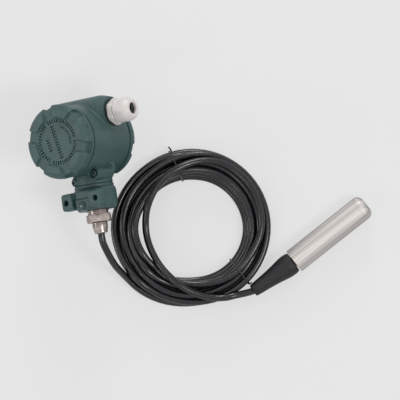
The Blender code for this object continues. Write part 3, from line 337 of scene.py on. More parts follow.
class Palette:
    """All finishes of the transmitter, made once."""

    def __init__(self) -> None:
        """Make the materials."""
        even = (1, 1, 1)
        # Matt green-grey paint on a sand-textured casting
        self.paint = Coat(
            "green_cast_paint", "green_paint", (61, 88, 88), (50, 75, 73), 0.46,
            ((even, 60, 3), (even, 800, 2), (even, 420, 4)), (0.5, 0.5, 0), (0.34, 0.66),
            (0, 0.2, 0), (0, 0.3, 0.7), 0.45, 0.00035, extra={"Specular IOR Level": 0.42},
        ).make()
        # Pale moulded plastic with faint flow marks
        depth = {"Subsurface Weight": 0.08, "Subsurface Radius": (0.002, 0.0018, 0.0016)}
        self.nylon = Coat(
            "pale_nylon", "white_plastic", (224, 219, 216), (212, 206, 203), 0.42,
            ((even, 110, 3), (even, 1500, 2)), (1, 0), (0.3, 0.7),
            (0, 0.12), (0, 1), 0.18, 0.0002, HOUSING, extra=depth,
        ).make()
        # Dull black rubber with a fine grain and a little dust
        self.rubber = Coat(
            "black_rubber_grain", "black_rubber", (36, 37, 39), (22, 23, 25), 0.55,
            ((even, 130, 4), (even, 1600, 3)), (1, 0), (0.35, 0.7),
            (0, 0.16), (0, 1), 0.4, 0.0002, extra={"Specular IOR Level": 0.36},
        ).make()
        # Glossy near-black cable jacket with scuffs
        self.jacket = Coat(
            "cable_jacket_gloss", "cable_jacket", (32, 33, 37), (18, 19, 22), 0.24,
            ((even, 260, 5), (even, 1300, 2)), (1, 0), (0.4, 0.75),
            (0.16, 0), (0.5, 0.5), 0.22, 0.00015,
        ).make()
        # Plated steel of small screws, slightly dulled
        self.zinc = Coat(
            "zinc_plate_dull", "zinc", (124, 134, 131), (62, 78, 76), 0.46,
            ((even, 900, 3),), (1,), (0.3, 0.7), (0.16,), (1,), 0.2, 0.0001, metallic=1.0,
        ).make()
        # Dark moulded plastic of the inner parts and the ties
        self.mould = Coat(
            "dark_mould", "dark_plastic", (46, 46, 50), (26, 26, 29), 0.45,
            ((even, 700, 3),), (1,), (0.3, 0.7), (0.16,), (1,), 0.25, 0.0001,
        ).make()
        self.laminate = Laminate().make()
        pale, warm = ((206, 202, 199), (166, 161, 158)), ((176, 165, 160), (134, 124, 120))
        self.brushed = steel("brushed_steel", pale, 0.62, ((700, 700, 9), (170, 170, 2)), PROBE)
        lines = (30, 30, 1500), (50, 50, 260)
        self.turned = steel("turned_steel", warm, 0.27, lines, HOUSING)
        lines = (220, 220, 220), (60, 60, 60)
        self.milled = steel("milled_steel", warm, 0.48, lines, HOUSING)


# ---- forms


def lathe(outline: Sequence[Point], steps: int = 96, closed: bool = False) -> Form:
    """Turn an outline about the Z axis.

    Args:
        outline: Points as (radius, height).
        steps: Faces round the axis.
        closed: True where the last point joins the first, for a ring.

    Returns:
        A closed form.
    """
    form = bmesh.new()
    corners = [form.verts.new((radius * MM, 0.0, height * MM)) for radius, height in outline]
    followers = corners[1:] + corners[:1] * closed
    edges = [form.edges.new(pair) for pair in zip(corners, followers)]
    bmesh.ops.spin(
        form, geom=corners + edges, axis=(0, 0, 1), angle=2 * math.pi, steps=steps, use_merge=True
    )
    bmesh.ops.remove_doubles(form, verts=form.verts[:], dist=1e-6)
    bmesh.ops.recalc_face_normals(form, faces=form.faces[:])
    return form


def prism(sides: int, radius: float, low: float, high: float, start: float = 0.0) -> Form:
    """Return an upright prism, such as the blank of a nut.

    Args:
        sides: Number of sides.
        radius: Distance of its corners from the axis.
        low: Height of its bottom.
        high: Height of its top.
        start: Turn about its axis.

    Returns:
        A closed form.
    """
    form = bmesh.new()
    wide, deep = radius * MM, (high - low) * MM
    bmesh.ops.create_cone(
        form, cap_ends=True, segments=sides, radius1=wide, radius2=wide, depth=deep
    )
    return moved(form, at(0, 0, (low + high) / 2), Matrix.Rotation(start, 4, "Z"))


def rounded(form: Form, items: Sequence, soft: float, kind: str, segments: int) -> None:
    """Round the edges or corners of a form.

    Args:
        form: The form.
        items: Its edges or corners that are rounded.
        soft: Radius of the rounding.
        kind: EDGES or VERTICES.
        segments: Steps of the rounding.
    """
    bmesh.ops.bevel(
        form, geom=items, offset=soft * MM, offset_type="OFFSET", affect=kind,
        segments=segments, profile=0.5, material=-1,
    )


def block(size: Sequence[float], centre: Sequence[float], soft: float = 0.0) -> Form:
    """Return a box, with its edges rounded where soft is above 0.

    Args:
        size: Its three lengths.
        centre: Its middle.
        soft: Radius of its edges.

    Returns:
        A closed form.
    """
    form = bmesh.new()
    bmesh.ops.create_cube(form, size=1.0)
    moved(form, at(*centre), Matrix.Diagonal((*(side * MM for side in size), 1.0)))
    if soft:
        rounded(form, form.edges[:], soft, "EDGES", 4)
    return form


def moved(form: Form, *turns: Matrix) -> Form:
    """Move a form by matrices, the last one first, and return it."""
    whole = UP.copy()
    for turn in turns:
        whole = whole @ turn
    bmesh.ops.transform(form, matrix=whole, verts=form.verts[:])
    return form


def at(x: float, y: float, z: float) -> Matrix:
    """Return a shift."""
    return Matrix.Translation((x * MM, y * MM, z * MM))


def gather(forms: Sequence[Form]) -> Form:
    """Return one form that holds several which don't touch."""
    whole = bmesh.new()
    for form in forms:
        mesh = bpy.data.meshes.new("part")
        form.to_mesh(mesh)
        form.free()
        whole.from_mesh(mesh)
        bpy.data.meshes.remove(mesh)
    return whole


def arc(radius: float, start: float, end: float, steps: int) -> list[Point]:
    """Return points on a circle round the origin, between two angles in radians."""
    turns = [start + (end - start) * step / steps for step in range(steps + 1)]
    return [(radius * math.cos(turn), radius * math.sin(turn)) for turn in turns]


def quarter(steps: int) -> list[float]:
    """Return the angles from 0 to a right angle."""
    return [math.radians(90 * step / steps) for step in range(steps + 1)]


def slab(
    outline: Sequence[Point], low: float, high: float, corners: Sequence[int], soft: float
) -> Form:
    """Return an upright slab of any outline.

    Args:
        outline: Its corners, seen from above.
        low: Height of its bottom.
        high: Height of its top.
        corners: Numbers of the corners that are rounded.
        soft: Their radius.

    Returns:
        A closed form.
    """
    form = bmesh.new()
    spots = [form.verts.new((x * MM, y * MM, low * MM)) for x, y in outline]
    form.faces.new(spots)
    rounded(form, [spots[number] for number in corners], soft, "VERTICES", 6)
    raised = bmesh.ops.extrude_face_region(form, geom=form.faces[:])
    top = [item for item in raised["geom"] if isinstance(item, bmesh.types.BMVert)]
    bmesh.ops.translate(form, verts=top, vec=(0, 0, (high - low) * MM))
    bmesh.ops.recalc_face_normals(form, faces=form.faces[:])
    return form


def dress(item: bpy.types.Object, coat: Finish, body: Body, *nodes: str) -> None:
    """Give a piece its finish, its body and the CAD nodes that it stands for.

    Args:
        item: The piece.
        coat: Its finish.
        body: The body that it rides on.
        nodes: The CAD nodes.
    """
    item.data.materials.clear()
    item.data.materials.append(coat.material)
    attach(item, body.value)
    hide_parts(*nodes)
    LOG.info("%s rides on %s", item.name, body.value)


class Piece:
    """One visible piece while it is made."""

    def __init__(self, name: str, *forms: Form) -> None:
        """Start the piece from the union of some closed forms."""
        self.name = name
        self.item = self._object(name, forms[0])
        self.change(Cut.JOIN, *forms[1:])

    @staticmethod
    def _object(name: str, form: Form) -> bpy.types.Object:
        """Put a form in a new object."""
        mesh = bpy.data.meshes.new(name)
        form.to_mesh(mesh)
        form.free()
        item = bpy.data.objects.new(name, mesh)
        bpy.context.scene.collection.objects.link(item)
        return item

    def _bake(self) -> None:
        """Apply the modifiers."""
        bpy.context.view_layer.update()
        graph = bpy.context.evaluated_depsgraph_get()
        made = bpy.data.meshes.new_from_object(self.item.evaluated_get(graph))
        self.item.modifiers.clear()
        spent, self.item.data = self.item.data, made
        bpy.data.meshes.remove(spent)
        made.name = self.name

    def change(self, cut: Cut, *forms: Form) -> "Piece":
        """Join, remove or keep closed forms, one after the other."""
        for form in forms:
            tool = self._object("tool", form)
            step = self.item.modifiers.new("cut", "BOOLEAN")
            step.operation = cut.value
            step.solver = "MANIFOLD"
            step.object = tool
            self._bake()
            spent = tool.data
            bpy.data.objects.remove(tool)
            bpy.data.meshes.remove(spent)
        return self

    def melt(self, voxel: float, rounds: int) -> "Piece":
        """Blend the forms as a casting does.

        Args:
            voxel: Grid size of the new skin.
            rounds: Rounds of smoothing, which widen the fillets.

        Returns:
            The piece.
        """
        skin = self.item.modifiers.new("skin", "REMESH")
        skin.mode = "VOXEL"
        skin.voxel_size = voxel * MM
        soft = self.item.modifiers.new("soft", "SMOOTH")
        soft.factor = 0.5
        soft.iterations = rounds
        self._bake()
        return self

    def soften(self, width: float, angle: float) -> "Piece":
        """Round the edges that are sharper than an angle in degrees."""
        step = self.item.modifiers.new("soften", "BEVEL")
        step.width = width * MM
        step.segments = 2
        step.limit_method = "ANGLE"
        step.angle_limit = math.radians(angle)
        step.use_clamp_overlap = True
        self._bake()
        return self

    def finish(
        self, place: Matrix, coat: Finish, node: str, body: Body = Body.MAIN, angle: float = 38.0
    ) -> bpy.types.Object:
        """Place, shade and dress the piece.

        Args:
            place: Its maker's frame in the row frame.
            coat: Its finish.
            node: The CAD node that it stands for.
            body: The body that it rides on.
            angle: Edges sharper than this stay crisp, in degrees.

        Returns:
            The finished object.
        """
        mesh = self.item.data
        mesh.transform(place)
        mesh.polygons.foreach_set("use_smooth", [True] * len(mesh.polygons))
        mesh.set_sharp_from_angle(angle=math.radians(angle))
        dress(self.item, coat, body, node)
        return self.item


# ---- castings


@dataclass
class Lid:
    """A screwed lid: six grip pads stand round a sunk disc with plain marks."""

    height: float
    skirt: float
    radius: float = 39.9
    skirt_radius: float = 39.3
    shoulder: float = 6.0
    disc: float = 26.2
    sunk: float = 3.5
    ceiling: float = 5.6
    spigot: float = 33.7
    wall: float = 4.0
    spigot_length: float = 11.0
    pads: int = 6
    phase: float = math.radians(-18.0)
    valley: float = 12.0
    corner: float = 1.8
    rim_depth: float = 3.4
    gap: float = 1.0
    seat: float = 36.6
    mark: tuple = (1.6, 4.2, 1.6)
    slant: float = math.radians(11.5)
    ring: float = 22.8
    ring_marks: int = 48
    curve: float = 16.8
    rows: tuple = (-0.8, -11.4)
    pitch: float = 2.9
    dimple: tuple = (3.6, 3.4, 1.8)

    def envelope(self) -> Form:
        """Return the lid as if its face were flat, with its spigot and its hollow."""
        top = self.height
        slope = [(0.97, 0.0), (0.82, 0.04), (0.34, 0.45), (0.1, 0.74), (0.0, 1.04)]
        rim = [(self.radius - x * self.shoulder, top - y * self.shoulder) for x, y in slope]
        inner = self.spigot - self.wall
        return lathe([
            (0.0, top),
            *rim,
            (self.radius, self.skirt), (self.skirt_radius, self.skirt - 0.6),
            (self.skirt_radius, self.gap + 0.3), (self.skirt_radius - 0.3, self.gap),
            (self.seat, self.gap), (self.seat, 0.0), (self.spigot, 0.0),
            (self.spigot, -self.spigot_length), (inner, -self.spigot_length),
            (inner, top - self.ceiling), (0.0, top - self.ceiling),
        ], 144)

    def pad(self, number: int) -> Form:
        """Return one pad, between two valleys of even width, with round inner corners."""
        share = math.pi / self.pads
        near = share - math.asin(self.valley / 2 / self.disc)
        reach = self.radius + 4
        far = share - math.asin(self.valley / 2 / reach)
        outline = arc(self.disc, near, -near, 8) + arc(reach, -far, far, 12)
        form = slab(outline, 0.0, self.height + 2, (0, 8), self.corner)
        turn = Matrix.Rotation(self.phase + share * (2 * number + 1), 4, "Z")
        return moved(form, turn)

    def dimples(self) -> Form:
        """Return the cutter of the small notches in the rim of the pads."""
        share = math.pi / self.pads
        spot = (self.radius, 0, self.skirt + 1.6)
        turns = [self.phase + share * (2 * number + 1.1) for number in range(self.pads)]
        return gather(
            [moved(block(self.dimple, spot), Matrix.Rotation(turn, 4, "Z")) for turn in turns]
        )

    def mark_at(
        self, dots: bool, across: float, along: float, turn: float, size: float
    ) -> list[Form]:
        """Return the cutter of one plain mark.

        Args:
            dots: True for a pair of dots, False for a bar.
            across: Its distance from the lid's axis, before the turn.
            along: Its place along its row, before the turn.
            turn: The turn about the lid's axis.
            size: Its size against a plain mark.

        Returns:
            Closed forms.
        """
        width, length, depth = self.mark
        width, length = width * size, length * size
        parts = [(0.0, length)] if not dots else [(-0.3 * length, width), (0.3 * length, width)]
        level = self.height - self.sunk
        tilt = Matrix.Rotation(turn, 4, "Z")
        return [
            moved(block((long, width, 2 * depth), (across + x, along, level)), tilt)
            for x, long in parts
        ]

    def marks(self) -> Form:
        """Return the cutter of the plain bars and dots: a ring, a short arc and two rows."""
        forms = []
        step = math.tau / self.ring_marks
        for tick in range(self.ring_marks):
            if tick % 16:
                forms += self.mark_at(tick % 3 == 1, self.ring, 0, step * tick, 0.96)
        for tick in range(11):
            turn = math.radians(8 * tick - 24) + self.slant
            forms += self.mark_at(tick % 3 == 1, self.curve, 0, turn, 0.66)
        long, short = self.rows
        for tick in range(-6, 7):
            forms += self.mark_at(tick % 3 == 1, long, tick * self.pitch, self.slant, 1.1)
        for tick in range(-2, 3):
            forms += self.mark_at(tick % 3 == 0, short, tick * self.pitch, self.slant, 1.0)
        return gather(forms)

    def build(
        self, name: str, place: Matrix, body: Body, node: str, palette: Palette
    ) -> bpy.types.Object:
        """Make the lid.

        Args:
            name: The piece's name.
            place: Its frame, with Z out of the housing and 0 on its seam.
            body: The body that it rides on.
            node: The CAD node that it stands for.
            palette: The finishes.

        Returns:
            The finished lid.
        """
        low = -self.spigot_length - 1
        core = prism(144, self.radius - self.rim_depth, low, self.height - self.sunk)
        skirt = prism(144, self.radius + 1, low, self.skirt * 0.6)
        piece = Piece(name, core, skirt, gather([self.pad(number) for number in range(self.pads)]))
        piece.change(Cut.KEEP, self.envelope())
        piece.change(Cut.REMOVE, self.dimples())
        piece.melt(0.55, 2)
        piece.change(Cut.REMOVE, self.marks())
        return piece.finish(place, palette.paint, node, body, 50.0)


@dataclass
class Housing:
    """The cast drum with its crossbar, neck and lock boss, and its two lids."""

    drum: float = 38.5
    front: float = 39.9
    rear: float = 25.5
    chamber: float = 34.0
    seat: float = 2.9
    edge: float = 1.2
    rebate: float = 37.5
    front_wall: float = 15.0
    rear_wall: float = 11.0
    bar_height: float = 24.0
    bar_radius: float = 20.5
    bar_flat: float = 26.0
    bar_reach: float = 38.4
    bar_end: float = 17.3
    conduit: float = 9.3
    neck: float = 20.7
    neck_end: float = 48.0
    bore: float = 15.0
    bore_top: float = 36.0
    boss: float = 7.4
    boss_side: float = 17.8
    boss_drop: float = 37.7
    boss_front: float = 23.5
    boss_rear: float = 6.0
    pocket: float = 3.5
    screw_drop: float = 43.5
    screw_turn: float = math.radians(-120)
    screw_boss: float = 23.6
    over: float = 6

    def forms(self) -> list[Form]:
        """Return the outer forms, a little long where a flat end is cut afterwards."""
        drum = prism(128, self.drum, -self.rear - self.over, self.front + self.over)
        end, reach = self.bar_end, self.bar_reach
        half = [
            (0, reach + self.over), (end - 0.6, reach + self.over), (end, reach - 1.0),
            (self.bar_radius - 1.0, reach - 7.2), (self.bar_radius, self.bar_flat),
        ]
        bar = lathe(half + [(radius, -height) for radius, height in reversed(half)], 96)
        neck = prism(96, self.neck, 0, self.neck_end + self.over)
        boss = prism(64, self.boss - 0.1, -self.boss_rear, self.boss_front - 1.5)
        rib = block((5, 5, 14), (24.5, 3.5, -30.7))
        lug = prism(48, 4.7, 0, self.screw_boss)
        return [
            moved(drum, FRONT),
            moved(bar, at(0, 0, self.bar_height), RIGHT),
            moved(neck, DOWN),
            moved(boss, self.lock()),
            rib,
            moved(lug, at(0, 0, -self.screw_drop), self.radial()),
        ]

    def lock(self) -> Matrix:
        """Return the frame of the lock boss, with Z towards the front."""
        return at(self.boss_side, 0, -self.boss_drop) @ FRONT

    def radial(self) -> Matrix:
        """Return the turn from Z to the direction of the neck's set screw."""
        return Matrix.Rotation(self.screw_turn, 4, "Z") @ RIGHT

    def ends(self) -> list[Form]:
        """Return the cutters that leave the drum, crossbar and neck flat at their joints."""
        wide, deep = 120, 30
        side = self.bar_reach + deep / 2
        return [
            block((wide, deep, wide), (0, -self.front - deep / 2, 0)),
            block((wide, deep, wide), (0, self.rear + deep / 2, 0)),
            block((wide, wide, deep), (0, 0, -self.neck_end - deep / 2)),
            block((deep, wide, wide / 2), (side, 0, self.bar_height)),
            block((deep, wide, wide / 2), (-side, 0, self.bar_height)),
        ]

    def chambers(self) -> list[Form]:
        """Return the two stepped bores that the lids close, and the chamfers of their edges."""
        seat = self.chamber + self.seat
        cutters = []
        for end, wall, turn in (
            (self.front, self.front_wall, FRONT), (self.rear, -self.rear_wall, REAR),
        ):
            bore = [
                (0, end + 5), (seat, end + 5), (seat, end - self.seat),
                (self.chamber, end - self.seat), (self.chamber, wall), (0, wall),
            ]
            wide, low = self.drum + 1, end - self.edge
            chamfer = [
                (self.rebate, end + 0.2), (wide, end + 0.2), (wide, low - 0.3),
                (self.drum - 0.3, low), (self.rebate, low),
            ]
            cutters.append(moved(lathe(bore, 128), turn))
            cutters.append(moved(lathe(chamfer, 128, closed=True), turn))
        return cutters

    def ways(self) -> list[Form]:
        """Return the conduit, the neck's bore, the boss pocket and the set screw's hole."""
        past = 1
        conduit = prism(64, self.conduit, -self.bar_reach - past, self.bar_reach + past)
        end, face = self.neck_end, self.boss_front
        neck = lathe([
            (0, end + past), (self.bore, end + past), (self.bore, self.bore_top),
            (8, self.bore_top), (8, 28), (0, 28),
        ], 64)
        floor = face - self.pocket
        pocket = lathe([
            (0, face + past), (5.9, face + past), (5.9, face), (5.3, face - 0.8), (5.0, floor),
            (2.2, floor), (2.2, floor - 12.3), (0, floor - 12.3),
        ], 48)
        screw = prism(32, 2.3, self.bore - past, self.screw_boss + past)
        wide = self.neck + 4
        groove = [
            (self.neck - 0.9, end + past), (wide, end + past), (wide, end - 0.5),
            (self.neck - 0.2, end - 0.5),
        ]
        return [
            moved(lathe(groove, closed=True), DOWN),
            moved(conduit, at(0, 0, self.bar_height), RIGHT),
            moved(neck, DOWN),
            moved(pocket, self.lock()),
            moved(screw, at(0, 0, -self.screw_drop), self.radial()),
        ]

    def collar(self) -> Form:
        """Return the crisp front of the lock boss."""
        side, face = self.boss, self.boss_front
        outline = [
            (0, face), (side - 0.7, face), (side - 0.2, face - 0.2), (side, face - 0.7),
            (side, face - 4), (0, face - 4),
        ]
        return moved(lathe(outline, 64), self.lock())

    def bar_faces(self) -> list[Form]:
        """Return the crisp conical ends of the crossbar."""
        end, reach = self.bar_end, self.bar_reach
        outline = [
            (0, reach), (end - 0.3, reach), (end, reach - 0.3), (end + 0.25, reach - 1.2),
            (self.bar_radius - 1.0, reach - 8.4), (0, reach - 8.4),
        ]
        middle = at(0, 0, self.bar_height)
        return [moved(lathe(outline), middle, turn) for turn in (RIGHT, LEFT)]

    def pillars(self) -> list[Form]:
        """Return the two pillars that carry the circuit board."""
        outline = [(1.6, 20), (3.2, 20), (3.2, 14), (1.6, 14)]
        return [
            moved(lathe(outline, 32, closed=True), at(side, 0, 0), FRONT) for side in (-23, 23)
        ]

    def build(self, palette: Palette) -> None:
        """Make the casting, both lids, and the two screws of the neck."""
        piece = Piece("housing_casting", *self.forms())
        piece.melt(0.75, 8)
        piece.change(Cut.JOIN, self.collar(), *self.bar_faces())
        piece.change(Cut.REMOVE, *self.ends(), *self.chambers(), *self.ways())
        piece.change(Cut.JOIN, *self.pillars())
        piece.finish(HOUSING, palette.paint, "housing_body", angle=32.0)
        front = Lid(17, 7)
        place = HOUSING @ FRONT @ at(0, 0, self.front + GAP)
        front.build("front_lid", place, Body.FRONT_LID, "front_cover", palette)
        rear = Lid(12, 4, shoulder=7.0, phase=math.radians(25.0))
        place = HOUSING @ REAR @ at(0, 0, self.rear + GAP)
        rear.build("rear_lid", place, Body.REAR_LID, "rear_cover", palette)
        self.screws(palette)

    def screws(self, palette: Palette) -> None:
        """Make the set screw in the neck and the lock screw in the boss."""
        end = self.neck - 0.4
        screw = Piece("neck_grub_screw", lathe([
            (0, end), (1.6, end), (2.0, end - 0.4), (2.0, self.bore), (0, self.bore),
        ], 32))
        screw.change(Cut.REMOVE, prism(6, 1.0, end - 1.5, end + 1))
        place = HOUSING @ at(0, 0, -self.screw_drop) @ self.radial()
        screw.finish(place, palette.zinc, "neck_set_screw")
        head = self.boss_front - self.pocket + GAP
        top = head + 2.4
        lock = Piece("boss_pan_screw", lathe([
            (0, top), (2.2, top - 0.1), (3.1, top - 0.7), (3.5, top - 1.5), (3.5, head),
            (1.9, head), (1.9, head - 12), (0, head - 12),
        ], 40))
        lock.change(Cut.REMOVE, prism(6, 2.0, top - 2.2, top + 1))
        place = HOUSING @ self.lock()
        lock.finish(place, palette.paint, "boss_lock_screw")


@dataclass
class Base:
    """The cast base under the neck, with its two bracket ears and its ground screw."""

    neck: float = 20.7
    top: float = 48.3
    spigot: float = 14.7
    spigot_top: float = 36.3
    radius: float = 22.9
    end_radius: float = 20.3
    bottom: float = 75.0
    shoulder: float = 7.5
    ear_width: float = 25.7
    ear_inner: float = 11.0
    face: float = 29.4
    ear_top: float = 54.4
    ear_bottom: float = 73.0
    ear_soft: float = 3.3
    hole_side: float = 19.25
    hole_drop: float = 64.2
    pad: float = 9.0
    pad_drop: float = 67.7
    recess: float = 63.0
    ground_drop: float = 70.0
    ground_boss: float = 5.0

    def build(self, palette: Palette) -> None:
        """Make the casting, the ground screw and its washer."""
        neck, wide, top, end = self.neck, self.radius, -self.top, -self.bottom
        barrel = lathe([
            (0, top + 4), (neck, top + 4), (neck + 0.5, top - 0.2), (neck + 0.6, top - 2.0),
            (neck, top - 2.6), (neck + 0.3, top - 3.2), (wide - 0.6, top - 5.0),
            (wide, top - self.shoulder), (wide, end + self.shoulder), (wide - 0.7, end + 3.4),
            (self.end_radius, end - 0.1), (self.end_radius, end - 4), (0, end - 4),
        ])
        depth = self.face / 2
        height = self.ear_bottom - self.ear_top
        ears = block(
            (2 * self.ear_width, depth, height),
            (0, depth / 2 - self.face, -(self.ear_top + self.ear_bottom) / 2),
            self.ear_soft,
        )
        pad = prism(64, self.pad, depth, self.face - 1)
        piece = Piece("base_casting", barrel, ears, moved(pad, at(0, 0, -self.pad_drop), FRONT))
        between = 2 * self.ear_inner
        piece.change(
            Cut.REMOVE,
            block((between, 6.4, 12), (0, -self.face, 6 - self.recess)),
            block((between, 3.2, 14), (0, -self.face, -self.recess - 6.9)),
            block((3.2, 11, 32), (-9.0, -self.face, -self.recess)),
        )
        piece.melt(0.55, 4)
        wide, high = 80, 20
        for level in (top + high / 2, end - high / 2):
            piece.change(Cut.REMOVE, block((wide, wide, high), (0, 0, level)))
        for level, deep in ((self.top, 0.8), (self.top + 3.3, 0.5)):
            ring = [
                (neck - deep, -level), (neck + 6, -level + 0.5), (neck + 6, -level - 0.6),
                (neck - deep + 0.3, -level - 0.45),
            ]
            piece.change(Cut.REMOVE, lathe(ring, closed=True))
        piece.change(Cut.JOIN, prism(64, self.spigot, top - 1, -self.spigot_top))
        holes = [prism(48, 4.05, end - 1, 0), prism(48, 9.7, end - 1, end + 9.3)]
        face = self.face
        outline = [
            (0, face + 1), (3.9, face + 1), (3.9, face - 0.1), (3.1, face - 0.8), (2.9, face - 12),
            (0, face - 13.2),
        ]
        for side in (-self.hole_side, self.hole_side):
            holes.append(moved(lathe(outline, 40), at(side, 0, -self.hole_drop), FRONT))
        face -= 1
        spot = at(0, 0, -self.ground_drop)
        piece.change(Cut.JOIN, moved(prism(48, self.ground_boss, depth, face), spot, FRONT))
        holes.append(moved(prism(32, 2.3, face - 9.3, face + 1), spot, FRONT))
        piece.change(Cut.REMOVE, *holes)
        piece.finish(HOUSING, palette.paint, "bracket_base", angle=32.0)
        self.ground(face, palette)

    def ground(self, face: float, palette: Palette) -> None:
        """Make the ground screw with its washer on a face of the base."""
        place = HOUSING @ at(0, 0, -self.ground_drop) @ FRONT
        low = face + GAP
        high = low + 1.0
        outline = [(2.3, low), (4.8, low), (4.8, high - 0.25), (4.55, high), (2.3, high)]
        washer = Piece("ground_screw_washer", lathe(outline, 48, closed=True))
        washer.finish(place, palette.paint, "ground_washer")
        seat = high + GAP
        top = seat + 2.2
        screw = Piece("ground_pan_screw", lathe([
            (0, top), (1.4, top - 0.1), (2.3, top - 0.5), (2.9, top - 1.2), (3.1, top - 1.7),
            (3.1, seat), (2.0, seat), (2.0, seat - 9), (0, seat - 9),
        ], 48))
        for size in ((4.6, 1.1, 2.6), (1.1, 4.6, 2.6)):
            screw.change(Cut.REMOVE, block(size, (0, 0, top)))
        screw.finish(place, palette.zinc, "ground_screw")


# ---- glands


@dataclass
class PlasticGland:
    """The pale cable gland at the right end of the crossbar, and the plug at its left end."""

    reach: float = 38.7
    lift: float = 24.0
    washer: float = 14.5
    washer_height: float = 1.7
    thread: float = 9.0
    thread_length: float = 12.0
    corner: float = 14.6
    hex_height: float = 6.0
    stem: float = 10.0
    stem_length: float = 10.5
    bore: float = 7.2
    cap: float = 13.25
    cap_end: float = 8.2
    cap_length: float = 19.0
    mouth: float = 6.8
    lip: float = 6.3

    def build(self, palette: Palette) -> None:
        """Make the gland and the plug with their gaskets."""
        place = HOUSING @ at(self.reach, 0, self.lift) @ RIGHT
        self.gasket("gland_gasket", place, "gland_washer", self.washer, palette)
        low = self.washer_height + GAP
        high = low + self.hex_height
        body = Piece("gland_hex", prism(6, self.corner, low, high, math.radians(30)))
        side = self.corner
        chamfer = lathe([
            (0, high + 1), (side - 2.0, high + 1), (side - 1.2, high), (side + 0.3, high - 1.0),
            (side + 0.3, low + 1.0), (side - 1.2, low), (side - 2.0, low - 1), (0, low - 1),
        ])
        body.change(Cut.KEEP, chamfer)
        stem_top = high + self.stem_length
        threads = [(self.thread, low + 1)]
        pitch = 1.5
        for turn in range(8):
            level = low - 0.2 - pitch * turn
            threads += [(self.thread, level), (self.thread - 0.7, level - pitch / 2)]
        end = -self.thread_length
        thread = lathe([(0, low + 1), *threads, (self.thread - 0.7, end), (0, end)], 72)
        body.change(Cut.JOIN, thread, prism(72, self.stem, low + 1, stem_top))
        body.change(Cut.REMOVE, prism(64, self.bore, end - 1, stem_top + 1))
        body.finish(place, palette.nylon, "gland_body", angle=30.0)
        self.insert(place, stem_top, high + 0.6 + self.cap_length - 3.2, palette)
        self.nut(place, high + 0.6, stem_top, palette)
        self.plug(palette)

    def gasket(self, name: str, place: Matrix, node: str, radius: float, palette: Palette) -> None:
        """Make one flat rubber washer."""
        top = self.washer_height
        outline = [
            (radius - 0.3, 0), (radius, 0.4), (radius, top - 0.4), (radius - 0.3, top), (9.3, top),
            (9.3, 0),
        ]
        piece = Piece(name, lathe(outline, closed=True))
        piece.finish(place, palette.rubber, node)

    def insert(self, place: Matrix, stem_top: float, end: float, palette: Palette) -> None:
        """Make the rubber insert that fills the mouth but for its hole."""
        low = stem_top + GAP
        outer = self.mouth - 0.25
        outline = [
            (9.7, low + 4.6), (9.7, low), (6.9, low), (6.9, low - 6), (3.4, low - 6),
            (3.4, low + 3.6), (outer - 1.2, end - 1.0), (outer - 0.5, end - 0.5),
            (outer, end - 0.8), (outer, end - 2.2),
        ]
        piece = Piece("gland_rubber_insert", lathe(outline, 64, closed=True))
        piece.finish(place, palette.rubber, "gland_seal", Body.GLAND_INSERT)

    def nut(self, place: Matrix, low: float, stem_top: float, palette: Palette) -> None:
        """Make the domed cap nut."""
        high = low + self.cap_length
        seal_top = stem_top + 5.2
        drop = self.cap - self.cap_end
        dome = [
            (self.cap_end + drop * math.sin(a), high - drop * 1.9 * (1 - math.cos(a)))
            for a in quarter(10)
        ]
        outline = [
            (self.lip + 0.5, high),
            *dome,
            (self.cap, low + 0.6), (self.cap - 0.6, low), (10.3, low), (10.3, seal_top),
            (self.mouth, high - 3.6), (self.mouth, high - 3.0), (self.lip, high - 2.7),
            (self.lip, high - 0.5),
        ]
        cap = Piece("gland_cap", lathe(outline, 144, closed=True))
        flats = prism(6, (self.cap - 0.45) / math.cos(math.pi / 6), low - 1, high + 1)
        cap.change(Cut.KEEP, flats)
        cap.finish(place, palette.nylon, "gland_cap_nut", Body.GLAND_NUT, 24.0)

    def plug(self, palette: Palette) -> None:
        """Make the blanking plug in the other end of the crossbar."""
        place = HOUSING @ at(-self.reach, 0, self.lift) @ LEFT
        self.gasket("plug_gasket", place, "plug_washer", 12.6, palette)
        low = self.washer_height + GAP
        high = low + 5
        head = 12.6
        outline = [
            (0, high), (head - 1.2, high), (head - 0.35, high - 0.35), (head, high - 1.2),
            (head, low + 0.4), (head - 0.4, low), (self.thread, low),
            (self.thread, -self.thread_length), (0, -self.thread_length),
        ]
        plug = Piece("blanking_plug", lathe(outline))
        plug.change(Cut.REMOVE, block((30, 2.4, 4), (0, 0, high)))
        plug.finish(place, palette.paint, "conduit_plug", angle=30.0)


